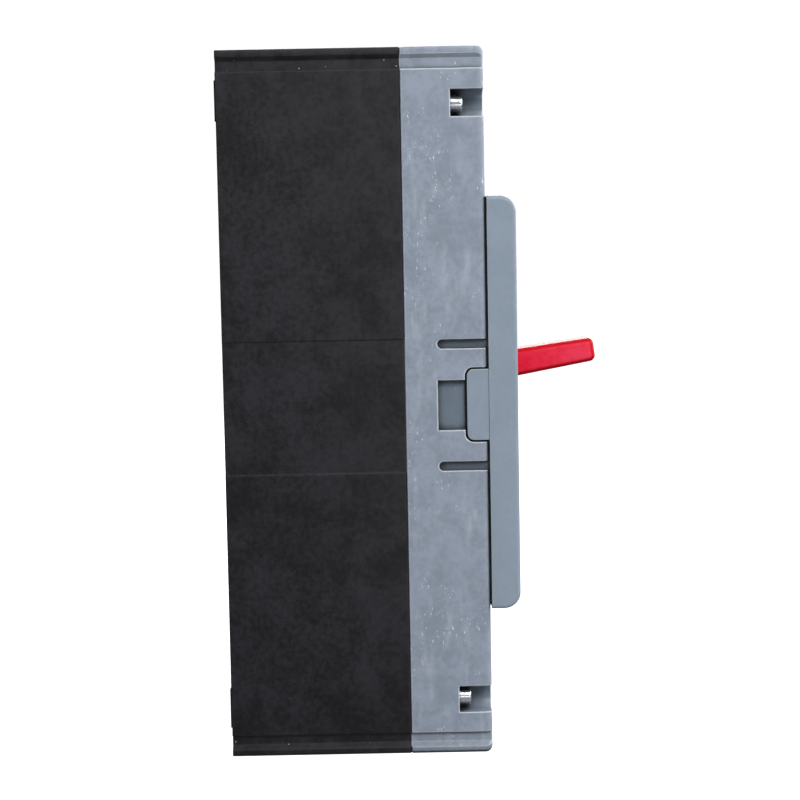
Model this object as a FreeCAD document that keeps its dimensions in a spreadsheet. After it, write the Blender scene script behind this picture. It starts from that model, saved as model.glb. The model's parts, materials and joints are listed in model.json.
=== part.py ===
"""Three-pole molded case breaker of the 400 A frame size, as separate pieces.

Frame: +Z up, front facing -Y, origin at the centre of the rear mounting plane.
Depths are distances forward from that plane, so a depth of 96 lies at Y = -96.
"""
import FreeCAD
import Part
import math
import os
import re
import Sketcher

DIMENSIONS = {
    # housing envelope
    "case_width": 150, "case_height": 257, "pad_rise": 0.6, "joint_depth": 66.5, "cover_depth": 96.4,
    "fascia_depth": 107.5, "wall": 4, "floor_depth": 8, "pole_pitch": 48, "partition": 4,
    "bay_inner": 94.5, "bay_floor": 34, "end_wall": 4, "bay_partition": 8, "corner_round": 1.2,
    "cover_end_round": 2.4, "cover_skin": 3, "cavity_ceiling": 79.5, "panel_half": 24.2,
    "panel_recess": 0.35,
    # end grooves that take terminal covers
    "groove_inner": 120.6, "groove_floor_end": 124.3, "groove_outer": 126, "groove_depth": 1.4,
    "barrier_slot": 2.2, "barrier_slot_reach": 5,
    # fixing holes
    "fix_pitch_x": 44, "fix_pitch_z": 194, "fix_radius": 3.5, "fix_head_radius": 6.5,
    "fix_boss_base": 6.2, "fix_boss_cover": 8.6,
    # rear face
    "pad_width": 16, "pad_inset": 2, "pad_low": 103.5, "pad_high": 118, "rear_recess_x": 21.4,
    "rear_recess_z": 50.4, "rear_recess": 1, "rear_plate_gap": 0.4, "rear_plate_thick": 0.8,
    "relief_x": 34, "relief_z": 38, "relief_depth": 2.4, "relief_rib": 3, "relief_center_x": 48.5,
    # cover screws and their wells
    "well_x": 70, "well_z": 108.4, "well_radius": 4.88, "well_floor": 84.4, "well_boss": 7.2,
    "screw_hole": 2.3, "screw_shank": 1.95, "screw_head": 3.2, "screw_head_tall": 2.6,
    "lock_washer": 1.1, "flat_washer": 0.7, "flat_washer_radius": 3.6, "head_round": 0.6,
    "seam_base": 0.3, "seam_cover": 0.4, "insert_outer": 3.2, "insert_inner": 2.05, "insert_length": 12,
    "drive_width": 0.9, "drive_depth": 1.6,
    # cover side details
    "slot_z": 22.2, "slot_half": 1.72, "slot_start": 78.3, "slot_depth": 2.2, "window_half": 9.1,
    "window_start": 78.3, "window_depth": 2.9, "notch_half": 13.6, "notch_start": 88.1,
    "notch_depth": 3.2, "notch_round": 3, "tab_half": 12.9, "tab_start": 88.9, "tab_round": 2.4,
    "tab_thick": 2.7, "tab_inset": 0.25,
    # accessory pockets in the cover front
    "pocket_low_x": 30, "pocket_high_x": 66, "pocket_z": 55, "pocket_floor": 82.5,
    "lever_opening_x": 22, "lever_opening_z": 50, "vent_half": 1.5, "vent_step": 6, "vent_half_x": 13,
    # accessory cover
    "fascia_half_x": 74.6, "fascia_half_z": 75.2, "fascia_gap": 0.5, "fascia_skin": 2.5,
    "fascia_round": 6, "fascia_edge": 1.4, "fascia_rim": 1.5, "window_x": 16, "window_top": 18.5,
    "window_low": -30, "bezel_x": 24, "bezel_top": 28, "bezel_low": -39.5, "bezel_recess": 0.8,
    "label_recess": 0.5, "label_x": 58, "label_low": 41, "label_high": 66, "label_thick": 0.3,
    "label_gap": 0.3, "fascia_screw_x": 64, "fascia_screw_z": 62, "fascia_well": 4.2,
    "fascia_seat": 101.5, "rail_x": 23, "rail_thick": 2, "rail_drop": 5, "mark_size": 6,
    "mark_width": 1.2, "mark_rise": 0.35, "mark_top_z": 23.2, "mark_low_z": -34.8,
    # trip button
    "button_x": 44, "button_z": -46, "button_radius": 3.4, "button_clear": 0.3, "button_front": 108.1,
    "button_collar": 4.6, "button_rod": 2, "button_end": 65.5, "button_travel": 3,
    # handle and lever, modelled upright and then turned to the closed position
    "lever_pivot": 30, "lever_on": 7.8, "lever_leg_x": 19, "lever_thick": 2, "lever_leg_half": 4,
    "lever_top": 88, "lever_top_half": 8, "lever_hole": 2.55, "lever_pin": 2.5, "handle_base_x": 15,
    "handle_base_z": 8, "handle_shoulder": 97.5, "grip_x": 10, "grip_root_half": 5.75,
    "grip_tip_half": 4.65, "grip_tip": 144.1, "grip_lean": 0.021, "grip_lean_at": 113.2,
    "grip_round": 2.4, "grip_corner": 2.8, "shutter_x": 22.4, "shutter_half_z": 45,
    "shutter_low": 102.6, "shutter_thick": 1.4, "shutter_gap": 1.1,
    # contact shaft
    "shaft_z": -16, "shaft_depth": 36, "shaft_radius": 8.4, "shaft_reach": 68.5, "shaft_clear": 1.2,
    "block_x": 12.5, "block_low_z": -27, "block_high_z": -3.5, "block_low": 26.5, "block_high": 46,
    "arm_half": 3, "arm_clear": 0.3, "arm_tip_z": 62, "arm_back": 32, "arm_front": 39, "tip_thick": 3,
    "tip_low_z": 50, "tip_half_x": 4.8, "arm_pin": 2.4, "crank_z": -5, "crank_depth": 46,
    "crank_pin": 2, "crank_ear": 4.8, "crank_hole": 3,
    # toggle links and cradle
    "link_top_z": 0, "link_top_depth": 76, "knee_z": -8.72, "knee_depth": 62.59, "link_round": 4.2,
    "upper_x": 2.3, "upper_thick": 1.8, "lower_x": 5.2, "lower_thick": 1.8, "link_pin": 2,
    "link_fit": 0.05, "knee_reach": 12.8, "cradle_half": 1.7, "cradle_pivot_z": 22,
    "cradle_pivot_depth": 67.5, "cradle_hook_z": -20.5, "cradle_tip_depth": 78.2, "cradle_pin": 3,
    "latch_z": -23.5, "latch_pivot_depth": 55, "latch_pin": 2, "latch_half": 7, "latch_thick": 1.5,
    "latch_hook": 2,
    # side plates
    "plate_x": 16, "plate_thick": 2, "plate_low_z": -27, "plate_high_z": 30, "plate_top": 82,
    "foot_inner": 5.5, "foot_thick": 3, "foot_low_z": -22, "foot_high_z": 24, "foot_half": 5,
    "mech_screw": 2.45, "mech_screw_x": 10.5, "mech_head": 4.3, "mech_head_seat": 4.5,
    "mech_head_tall": 2.6,
    # conductors and terminals
    "strap_half": 13, "strap_neck_half": 10, "strap_thick": 4, "strap_end": 126, "strap_wide_from": 97,
    "strap_drop_z": 84, "strap_low": 10, "loop_z": 36, "leg_high": 26, "leg_end": 66, "bolt_z": 113,
    "bolt_radius": 4.9, "bolt_clear": 5.4, "bolt_head": 8, "bolt_head_tall": 10, "bolt_length": 24,
    "hex_flat": 8, "hex_depth": 5, "washer_radius": 10.5, "washer_thick": 2, "spring_washer_radius": 9,
    "spring_washer_thick": 2.4, "nut_half": 8.5, "nut_thick": 8, "nut_gap": 0.4, "bolt_well": 16,
    "heater_drop_z": 76, "heater_low": 14, "heater_end": 44, "heater_screw_z": 71, "strap_screw_z": 76,
    "strap_screw": 2, "strap_screw_head": 3.6, "strap_screw_head_tall": 3,
    # arc chutes
    "chute_x": 16.4, "chute_board": 1.6, "chute_low_z": 60, "chute_high_z": 83.4, "board_low_z": 53,
    "board_low": 28, "board_high": 66, "splitter_thick": 1.5, "splitter_first": 30,
    "splitter_step": 4.3, "splitter_count": 9, "notch_mouth": 8, "notch_tip_z": 75, "baffle_half": 18,
    "baffle_gap": 0.2,
    # overcurrent release
    "bimetal_z": -52, "bimetal_thick": 1.2, "bimetal_half": 5, "bimetal_top": 57, "bimetal_foot": 9,
    "yoke_back_z": -66, "yoke_front_z": -51, "yoke_thick": 2, "yoke_x": 11, "yoke_low": 21,
    "yoke_high": 44, "armature_z": -46, "armature_thick": 1.6, "armature_x": 12, "armature_low": 22,
    "armature_hinge": 47, "finger_low_x": 6, "finger_high_x": 10, "finger_top": 57.5,
    "finger_lug_z": -39.1, "trip_z": -34, "trip_depth": 61.5, "trip_radius": 3.4, "trip_reach": 66,
    "trip_finger_z": -38, "trip_finger_thick": 2, "trip_finger_low": 50, "trip_arm_end": -49,
    "trip_arm_low": 60, "trip_arm_high": 64.6, "adjust_radius": 1.6, "adjust_end": -40,
    "adjust_depth": 54,
}

ALIAS = re.compile(r"\b(" + "|".join(sorted(DIMENSIONS, key=len, reverse=True)) + r")\b")
ORIGIN = FreeCAD.Vector(0, 0, 0)
ALONG_X = FreeCAD.Rotation(FreeCAD.Vector(0, 1, 0), 90)
ALONG_DEPTH = FreeCAD.Rotation(FreeCAD.Vector(1, 0, 0), 90)
ALONG_Z = FreeCAD.Rotation()
POLES = {"a": "-pole_pitch", "b": "0", "c": "pole_pitch"}
SIDES = (1, -1)

doc = FreeCAD.newDocument("molded_case_breaker")
sheet = doc.addObject("Spreadsheet::Sheet", "dims")
for row, (alias, number) in enumerate(DIMENSIONS.items(), start=1):
    sheet.set(f"A{row}", alias)
    sheet.set(f"B{row}", str(number))
    sheet.setAlias(f"B{row}", alias)
doc.recompute()
subparts = []


def linked(expression):
    """An expression with each dimension's name pointed at the spreadsheet."""
    return ALIAS.sub(r"dims.\1", str(expression))


def size(expression):
    """The present value of an expression, in millimetres or degrees."""
    found = sheet.evalExpression(linked(expression))
    return float(getattr(found, "Value", found))


def bind(item, **properties):
    """Ties properties of an object to expressions on the spreadsheet."""
    for name, expression in properties.items():
        item.setExpression(name.replace("__", "."), linked(expression))
    return item


def place(item, x, depth, z, rotation=ALONG_Z):
    item.Placement = FreeCAD.Placement(ORIGIN, rotation)
    return bind(item, Placement__Base__x=x, Placement__Base__y=f"-({depth})", Placement__Base__z=z)


def box(x0, x1, d0, d1, z0, z1, name="block"):
    """A block between two widths, two depths and two heights."""
    item = doc.addObject("Part::Box", name)
    bind(item, Length=f"({x1}) - ({x0})", Width=f"({d1}) - ({d0})", Height=f"({z1}) - ({z0})")
    return place(item, x0, d1, z0)


def rod_depth(x, z, d0, d1, radius, name="rod"):
    """A cylinder along the depth."""
    item = bind(doc.addObject("Part::Cylinder", name), Radius=radius, Height=f"({d1}) - ({d0})")
    return place(item, x, d0, z, ALONG_DEPTH)


def rod_x(x0, x1, depth, z, radius, name="rod"):
    """A cylinder along the width."""
    item = bind(doc.addObject("Part::Cylinder", name), Radius=radius, Height=f"({x1}) - ({x0})")
    return place(item, x0, depth, z, ALONG_X)


def rod_z(x, depth, z0, z1, radius, name="rod"):
    """A cylinder along the height."""
    item = bind(doc.addObject("Part::Cylinder", name), Radius=radius, Height=f"({z1}) - ({z0})")
    return place(item, x, depth, z0)


def fuse(*shapes, name="joined"):
    if len(shapes) == 1:
        return shapes[0]
    item = doc.addObject("Part::MultiFuse", name)
    item.Shapes = list(shapes)
    item.Refine = True
    return item


def cut(base, *tools, name="cut"):
    item = doc.addObject("Part::Cut", name)
    item.Base = base
    item.Tool = fuse(*tools, name="tools")
    item.Refine = True
    return item


def group(*shapes, name="group"):
    """Separate solids that share one node."""
    item = doc.addObject("Part::Compound", name)
    item.Links = list(shapes)
    return item


def subpart(label, item):
    """Registers a finished object under the label that names its file."""
    item.Label = label
    subparts.append(item)
    return item


def plane_of(body, role):
    return next(f for f in body.Origin.OriginFeatures if f.Role == role)


def outline(body, plane, points, start):
    """A closed sketch. Side points are (depth, z), front ones (x, z) and end ones (x, depth)."""
    role = {"side": "YZ_Plane", "front": "XZ_Plane", "end": "XY_Plane"}[plane]
    corners = []
    for first, second in points:
        if plane == "side":
            first = f"-({first})"
        if plane == "end":
            second = f"-({second})"
        corners.append((str(first), str(second)))
    sketch = body.newObject("Sketcher::SketchObject", "outline")
    sketch.AttachmentSupport = [(plane_of(body, role), "")]
    sketch.MapMode = "FlatFace"
    bind(sketch, AttachmentOffset__Base__z=start)
    places = [FreeCAD.Vector(size(u), size(v), 0) for u, v in corners]
    count = len(places)
    for i in range(count):
        sketch.addGeometry(Part.LineSegment(places[i], places[(i + 1) % count]), False)
    for i in range(count):
        sketch.addConstraint(Sketcher.Constraint("Coincident", i, 2, (i + 1) % count, 1))
    for i, (u, v) in enumerate(corners):
        for kind, expression in (("DistanceX", u), ("DistanceY", v)):
            index = sketch.addConstraint(Sketcher.Constraint(kind, -1, 1, i, 1, size(expression)))
            sketch.setExpression(f"Constraints[{index}]", linked(expression))
    return sketch


def prism(plane, points, start, length, name="plate"):
    """A body padded from an outline, from start along the plane's normal."""
    body = doc.addObject("PartDesign::Body", name)
    pad = body.newObject("PartDesign::Pad", "pad")
    pad.Profile = outline(body, plane, points, start)
    bind(pad, Length=length)
    body.Tip = pad
    doc.recompute()
    return body


def round_edges(body, radius, chosen, kind="Fillet"):
    """Rounds the edges of a body that the test picks."""
    base = body.Tip
    names = [f"Edge{i}" for i, edge in enumerate(base.Shape.Edges, start=1) if chosen(edge)]
    feature = body.newObject(f"PartDesign::{kind}", kind.lower())
    feature.Base = (base, names)
    bind(feature, **{"Radius" if kind == "Fillet" else "Size": radius})
    body.Tip = feature
    doc.recompute()
    return body


def runs_along(edge, axis):
    """True for a straight edge parallel to the x, y or z axis."""
    if edge.Curve.TypeId != "Part::GeomLine":
        return False
    span = edge.Vertexes[-1].Point - edge.Vertexes[0].Point
    return abs(abs(getattr(span, axis)) - span.Length) < 1e-6


def near(value, expression):
    return abs(value - size(expression)) < 1e-4


def case_block(start, end, seam, name):
    """The outer block of one half of the case, its long corners rounded and its joint edge eased."""
    x, z = "case_width / 2", "case_height / 2"
    points = [(f"-{x}", f"-{z}"), (x, f"-{z}"), (x, z), (f"-{x}", z)]
    body = prism("front", points, start, f"({end}) - ({start})", name)
    round_edges(body, "corner_round", lambda edge: runs_along(edge, "y"))
    return round_edges(body, seam, lambda edge: near(edge.CenterOfMass.y, "-joint_depth"), "Chamfer")


def end_grooves():
    """Cutting bars for the shallow channels near both ends of both sides."""
    bars = []
    for side in SIDES:
        for end in SIDES:
            face, floor = f"{side} * case_width / 2", f"{side} * (case_width / 2 - groove_depth)"
            over = f"{side} * (case_width / 2 + 1)"
            points = [(over, f"{end} * groove_inner"), (floor, f"{end} * groove_inner"),
                      (floor, f"{end} * groove_floor_end"), (face, f"{end} * groove_outer"),
                      (over, f"{end} * groove_outer")]
            bars.append(prism("front", points, "-1", "cover_depth + 2", "groove"))
    return bars


def bay_cuts(d0, d1, end):
    """The three terminal bays of one end, open at that end."""
    near_end, far_end = f"{end} * bay_inner", f"{end} * (case_height / 2 + 1)"
    z0, z1 = (near_end, far_end) if end > 0 else (far_end, near_end)
    inner = "(pole_pitch - bay_partition) / 2"
    outer = "(pole_pitch + bay_partition) / 2"
    return [box(f"-{inner}", inner, d0, d1, z0, z1),
            box(outer, "case_width / 2 - wall", d0, d1, z0, z1),
            box("wall - case_width / 2", f"-{outer}", d0, d1, z0, z1)]


def screw_bosses(d0, d1):
    """Square bosses in the outer corners of the bays, around the cover screws."""
    half = "well_boss"
    return [box(*((f"well_x - {half}", "case_width / 2 - 1") if side > 0 else
                  ("1 - case_width / 2", f"{half} - well_x")), d0, d1,
                f"{end} * well_z - {half}", f"{end} * well_z + {half}")
            for side in SIDES for end in SIDES]


def fixing_points():
    return [(f"{side} * fix_pitch_x / 2", f"{end} * fix_pitch_z / 2") for side in SIDES for end in SIDES]


def well_points():
    return [(side, f"{side} * well_x", f"{end} * well_z") for side in SIDES for end in SIDES]


def barrier_slots(d0, d1):
    """Slots in the ends of the bay partitions that take phase barriers."""
    half = "barrier_slot / 2"
    cuts = []
    for side in SIDES:
        middle = f"{side} * pole_pitch / 2"
        tip, root = "case_height / 2 + 1", "case_height / 2 - barrier_slot_reach"
        cuts.append(box(f"{middle} - {half}", f"{middle} + {half}", d0, d1, root, tip))
        cuts.append(box(f"{middle} - {half}", f"{middle} + {half}", d0, d1, f"-({tip})", f"-({root})"))
    return cuts


def chambers(d0, d1_middle, d1_side):
    """The three pole chambers."""
    z = "bay_inner - end_wall"
    inner, outer = "(pole_pitch - partition) / 2", "(pole_pitch + partition) / 2"
    return [box(f"-{inner}", inner, d0, d1_middle, f"-({z})", z),
            box(outer, "case_width / 2 - wall", d0, d1_side, f"-({z})", z),
            box("wall - case_width / 2", f"-{outer}", d0, d1_side, f"-({z})", z)]


def baffle_slots(d0, d1):
    """Openings in the end walls of the chambers, closed by the drop-in baffles."""
    cuts = []
    for x in POLES.values():
        for end in SIDES:
            low, high = "bay_inner - end_wall - 1", "bay_inner + 1"
            z0, z1 = (low, high) if end > 0 else (f"-({high})", f"-({low})")
            cuts.append(box(f"{x} - strap_neck_half - 0.6", f"{x} + strap_neck_half + 0.6", "bay_floor",
                            d1, z0, z1))
            z0, z1 = ("bay_inner - 3", "bay_inner - 1") if end > 0 else ("1 - bay_inner", "3 - bay_inner")
            cuts.append(box(f"{x} - baffle_half + 4", f"{x} + baffle_half - 4", "bay_floor", d1, z0, z1))
    return cuts


def shaft_slots(depth, z, radius, d1):
    """Round-bottomed slots across both partitions, open towards the front."""
    reach = "pole_pitch / 2 + partition"
    return [rod_x(f"-({reach})", reach, depth, z, radius),
            box(f"-({reach})", reach, depth, d1, f"{z} - ({radius})", f"{z} + {radius}")]


def shaft_room(d1):
    """Room for the contact shaft and the trip bar, kept clear of the mechanism's middle chamber."""
    cuts = shaft_slots("shaft_depth", "shaft_z", "shaft_radius + shaft_clear", d1)
    return cuts + shaft_slots("trip_depth", "trip_z", "trip_radius + 0.6", d1)


def make_base():
    block = case_block("pad_rise", "joint_depth", "seam_base", "base_block")
    hollow = chambers("floor_depth", "joint_depth + 1", "joint_depth + 1")
    for end in SIDES:
        hollow += bay_cuts("bay_floor", "joint_depth + 1", end)
    shell = cut(block, *hollow, name="base_shell")
    pads = []
    for side in SIDES:
        for end in SIDES:
            edge = "case_width / 2 - pad_inset"
            x0, x1 = (f"{edge} - pad_width", edge) if side > 0 else (f"-({edge})", f"pad_width - ({edge})")
            z0, z1 = ("pad_low", "pad_high") if end > 0 else ("-pad_high", "-pad_low")
            pads.append(box(x0, x1, "0", "pad_rise + 1", z0, z1, "pad"))
    bosses = screw_bosses("pad_rise + 1", "joint_depth")
    bosses += [rod_depth(x, z, "0", "joint_depth", "fix_boss_base") for x, z in fixing_points()]
    solid = fuse(shell, *pads, *bosses, name="base_solid")
    holes = [rod_depth(x, z, "-1", "joint_depth + 1", "fix_radius") for x, z in fixing_points()]
    holes += [rod_depth(x, z, "joint_depth - insert_length - 0.5", "joint_depth + 1", "insert_outer")
              for _, x, z in well_points()]
    holes += [rod_depth(x, z, "joint_depth - 22", "joint_depth", "screw_hole")
              for _, x, z in well_points()]
    holes += end_grooves() + barrier_slots("bay_floor - 20", "joint_depth + 1")
    holes += baffle_slots("floor_depth", "joint_depth + 1") + shaft_room("joint_depth + 1")
    for x in POLES.values():
        for end in SIDES:
            z = f"{end} * bolt_z"
            nut_floor = "bay_floor - nut_thick - nut_gap"
            holes.append(box(f"{x} - nut_half - 0.2", f"{x} + nut_half + 0.2", nut_floor, "bay_floor + 1",
                             f"{z} - nut_half - 0.2", f"{z} + nut_half + 0.2"))
            holes.append(rod_depth(x, z, "bolt_well", "bay_floor", "bolt_radius + 0.7"))
        holes.append(rod_depth(x, "strap_screw_z", "floor_depth - 5", "floor_depth + 1",
                               "strap_screw + 0.05"))
        holes.append(rod_depth(x, "-heater_screw_z", "floor_depth - 5", "floor_depth + 1",
                               "strap_screw + 0.05"))
    for side in SIDES:
        face = "case_width / 2"
        x0, x1 = ((f"{face} - panel_recess", f"{face} + 1") if side > 0 else
                  (f"-{face} - 1", f"panel_recess - {face}"))
        holes.append(box(x0, x1, "-1", "joint_depth + 1", "-panel_half", "panel_half"))
        for end in SIDES:
            x, z = f"{side} * relief_center_x", f"{end} * (relief_z / 2 + relief_rib)"
            holes.append(box(f"{x} - relief_x / 2", f"{x} + relief_x / 2", "-1", "pad_rise + relief_depth",
                             f"{z} - relief_z / 2", f"{z} + relief_z / 2"))
            screw_z = "foot_high_z" if end > 0 else "foot_low_z"
            screw_x = f"{side} * mech_screw_x"
            holes.append(rod_depth(screw_x, f"{screw_z} - {end} * foot_half", "-1", "mech_head_seat",
                                   "mech_head + 0.2"))
            holes.append(rod_depth(screw_x, f"{screw_z} - {end} * foot_half", "0", "floor_depth + 1",
                                   "mech_screw + 0.1"))
    holes.append(box("-rear_recess_x", "rear_recess_x", "-1", "pad_rise + rear_recess", "-rear_recess_z",
                     "rear_recess_z"))
    return subpart("base", cut(solid, *holes, name="base"))


def make_main_cover():
    block = case_block("joint_depth", "cover_depth", "seam_cover", "cover_block")
    front = "-cover_depth"
    half = "case_height / 2"
    round_edges(block, "cover_end_round", lambda edge: runs_along(edge, "x")
                and near(edge.CenterOfMass.y, front) and near(abs(edge.CenterOfMass.z), half))
    hollow = chambers("joint_depth - 1", "cover_depth - cover_skin", "cavity_ceiling")
    for end in SIDES:
        hollow += bay_cuts("joint_depth - 1", "cover_depth + 1", end)
    shell = cut(block, *hollow, name="cover_shell")
    bosses = screw_bosses("joint_depth", "cover_depth")
    bosses += [rod_depth(x, z, "joint_depth", "cover_depth", "fix_boss_cover") for x, z in fixing_points()]
    solid = fuse(shell, *bosses, name="cover_solid")
    holes = [rod_depth(x, z, "joint_depth - 1", "cover_depth + 1", "fix_head_radius")
             for x, z in fixing_points()]
    for side, x, z in well_points():
        holes.append(rod_depth(x, z, "well_floor", "cover_depth + 1", "well_radius"))
        outside = f"{side} * (case_width / 2 + 1)"
        x0, x1 = (x, outside) if side > 0 else (outside, x)
        holes.append(box(x0, x1, "well_floor", "cover_depth + 1", f"{z} - well_radius",
                         f"{z} + well_radius"))
        holes.append(rod_depth(x, z, "joint_depth - 1", "well_floor", "screw_hole"))
    holes += end_grooves() + barrier_slots("joint_depth - 1", "cover_depth + 1")
    holes += shaft_slots("trip_depth", "trip_z", "trip_radius + 0.6", "joint_depth + 3")
    holes.append(box("-lever_opening_x", "lever_opening_x", "joint_depth", "cover_depth + 1",
                     "-lever_opening_z", "lever_opening_z"))
    for side in SIDES:
        x0, x1 = ("pocket_low_x", "pocket_high_x") if side > 0 else ("-pocket_high_x", "-pocket_low_x")
        holes.append(box(x0, x1, "pocket_floor", "cover_depth + 1", "-pocket_z", "pocket_z"))
        holes += side_details(side)
        for end in SIDES:
            holes.append(rod_depth(f"{side} * fascia_screw_x", f"{end} * fascia_screw_z",
                                   "cover_depth - 12",
                                   "cover_depth + 1", "screw_shank + 0.05"))
    holes.append(rod_depth("button_x", "button_z", "joint_depth", "pocket_floor + 1", "button_rod + 0.4"))
    for x in POLES.values():
        for step in range(3):
            middle = f"joint_depth + 7 + {step} * vent_step"
            holes.append(box(f"{x} - vent_half_x", f"{x} + vent_half_x", f"{middle} - vent_half",
                             f"{middle} + vent_half", "bay_inner - end_wall - 1", "bay_inner + 1"))
    return subpart("main_cover", cut(solid, *holes, name="main_cover"))


def side_details(side):
    """The two blind slots, the latch window and the tab notch of one side of the cover."""
    face, outside = f"{side} * case_width / 2", f"{side} * (case_width / 2 + 1)"

    def across(depth):
        floor = f"{face} - {side} * {depth}"
        return (floor, outside) if side > 0 else (outside, floor)

    cuts = []
    for end in SIDES:
        z = f"{end} * slot_z"
        start = "slot_start + slot_half"
        cuts.append(box(*across("slot_depth"), start, "cover_depth + 1", f"{z} - slot_half",
                        f"{z} + slot_half"))
        cuts.append(rod_x(*across("slot_depth"), start, z, "slot_half"))
    cuts.append(box(*across("window_depth"), "window_start", "notch_start + 1", "-window_half",
                    "window_half"))
    x0, x1 = across("notch_depth")
    points = [("notch_start", "-notch_half"), ("cover_depth + 1", "-notch_half"),
              ("cover_depth + 1", "notch_half"), ("notch_start", "notch_half")]
    notch = prism("side", points, x0, f"({x1}) - ({x0})", "tab_notch")
    cuts.append(round_edges(notch, "notch_round", lambda edge: runs_along(edge, "x")
                            and near(edge.CenterOfMass.y, "-notch_start")))
    return cuts


def make_accessory_cover():
    low, high, z = "cover_depth + fascia_gap", "fascia_depth", "fascia_half_z"
    points = [(low, f"-{z}"), (high, f"-{z}"), (high, z), (low, z)]
    block = prism("side", points, "-fascia_half_x", "2 * fascia_half_x", "fascia_block")
    round_edges(block, "fascia_round", lambda edge: runs_along(edge, "x")
                and near(edge.CenterOfMass.y, "-fascia_depth"))
    round_edges(block, "fascia_edge", lambda edge: near(abs(edge.CenterOfMass.x), "fascia_half_x")
                and edge.CenterOfMass.y < -size("cover_depth + 2")
                and (runs_along(edge, "z") or edge.Curve.TypeId == "Part::GeomCircle"))
    inner_x, inner_z = "fascia_half_x - fascia_skin", "fascia_half_z - fascia_skin"
    ceiling = "fascia_depth - fascia_skin"
    hollow = box(f"-({inner_x})", inner_x, "cover_depth - 1", ceiling, f"-({inner_z})", inner_z, "hollow")
    shell = cut(block, hollow, name="fascia_shell")
    rim_x, rim_z = "fascia_half_x - fascia_rim", "fascia_half_z - fascia_rim"
    foot = cut(box(f"-({rim_x})", rim_x, "cover_depth", "cover_depth + 3", f"-({rim_z})", rim_z),
               box(f"-({inner_x})", inner_x, "cover_depth - 1", "cover_depth + 4", f"-({inner_z})",
                   inner_z))
    parts = [shell, foot]
    for side in SIDES:
        rail = "rail_x", "rail_x + rail_thick"
        x0, x1 = rail if side > 0 else (f"-({rail[1]})", f"-({rail[0]})")
        parts.append(box(x0, x1, f"{ceiling} - rail_drop", ceiling, f"-({inner_z})", inner_z))
        x0, x1 = (("fascia_half_x - tab_thick", "fascia_half_x - tab_inset") if side > 0 else
                  ("tab_inset - fascia_half_x", "tab_thick - fascia_half_x"))
        tab = prism("side", [("tab_start", "-tab_half"), ("cover_depth + 2", "-tab_half"),
                             ("cover_depth + 2", "tab_half"), ("tab_start", "tab_half")],
                    x0, f"({x1}) - ({x0})", "tab")
        parts.append(round_edges(tab, "tab_round", lambda edge: runs_along(edge, "x")
                                 and near(edge.CenterOfMass.y, "-tab_start")))
        for end in SIDES:
            x, z = f"{side} * fascia_screw_x", f"{end} * fascia_screw_z"
            parts.append(rod_depth(x, z, "cover_depth", ceiling, "fascia_well + 1.8"))
    parts.append(rod_depth("button_x", "button_z", f"{ceiling} - 3", ceiling, "button_collar + 1.5"))
    solid = fuse(*parts, name="fascia_solid")
    holes = [box("-window_x", "window_x", "cover_depth", "fascia_depth + 1", "window_low", "window_top"),
             box("-bezel_x", "bezel_x", "fascia_depth - bezel_recess", "fascia_depth + 1", "bezel_low",
                 "bezel_top"),
             rod_depth("button_x", "button_z", "cover_depth", "fascia_depth + 1",
                       "button_radius + button_clear"),
             rod_depth("button_x", "button_z", "cover_depth", ceiling, "button_collar + 0.3"),
             box("-label_x", "label_x", "fascia_depth - label_recess", "fascia_depth + 1", "label_low",
                 "label_high")]
    for side in SIDES:
        for end in SIDES:
            x, z = f"{side} * fascia_screw_x", f"{end} * fascia_screw_z"
            holes.append(rod_depth(x, z, "fascia_seat", "fascia_depth + 1", "fascia_well"))
            holes.append(rod_depth(x, z, "cover_depth - 1", "fascia_seat", "screw_hole"))
    half = "mark_width / 2"
    surface = "fascia_depth - bezel_recess"
    stroke = box(f"-{half}", half, f"{surface} - 0.5", f"{surface} + mark_rise", "mark_top_z - 1.8",
                 "mark_top_z + 1.8")
    ring = cut(rod_depth("0", "mark_low_z", f"{surface} - 0.5", f"{surface} + mark_rise", "2.4"),
               rod_depth("0", "mark_low_z", f"{surface} - 1", f"{surface} + 1", "2.4 - mark_width"))
    return subpart("accessory_cover", fuse(cut(solid, *holes), stroke, ring, name="accessory_cover"))


def cross_drive(x, z, top):
    """The two crossed slots of a screw head."""
    half, long = "drive_width / 2", "screw_head * 0.72"
    return [box(f"{x} - {long}", f"{x} + {long}", f"{top} - drive_depth", f"{top} + 1", f"{z} - {half}",
                f"{z} + {half}"),
            box(f"{x} - {half}", f"{x} + {half}", f"{top} - drive_depth", f"{top} + 1", f"{z} - {long}",
                f"{z} + {long}")]


def softened(rod, depth, radius="head_round"):
    """Rounds the rim of a rod that lies at a depth."""
    doc.recompute()
    rims = [i for i, edge in enumerate(rod.Shape.Edges, start=1)
            if edge.Curve.TypeId == "Part::GeomCircle" and near(edge.CenterOfMass.y, f"-({depth})")]
    item = doc.addObject("Part::Fillet", "softened")
    item.Base = rod
    item.Edges = [(i, size(radius), size(radius)) for i in rims]
    return item


def screw(x, z, seat, end, shank="screw_shank", head="screw_head", tall="screw_head_tall"):
    """A cross-drive screw whose head sits forward of the seat."""
    top = f"{seat} + {tall}"
    cap = softened(rod_depth(x, z, seat, top, head), top)
    return cut(fuse(cap, rod_depth(x, z, end, seat, shank)), *cross_drive(x, z, top))


def split_ring(x, z, d0, d1, outer, inner):
    """A split lock washer."""
    ring = cut(rod_depth(x, z, d0, d1, outer), rod_depth(x, z, f"{d0} - 1", f"{d1} + 1", inner),
               box(x, f"{x} + {outer} + 1", f"{d0} - 1", f"{d1} + 1", f"{z} - 0.4", f"{z} + 0.4"))
    return ring


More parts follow.
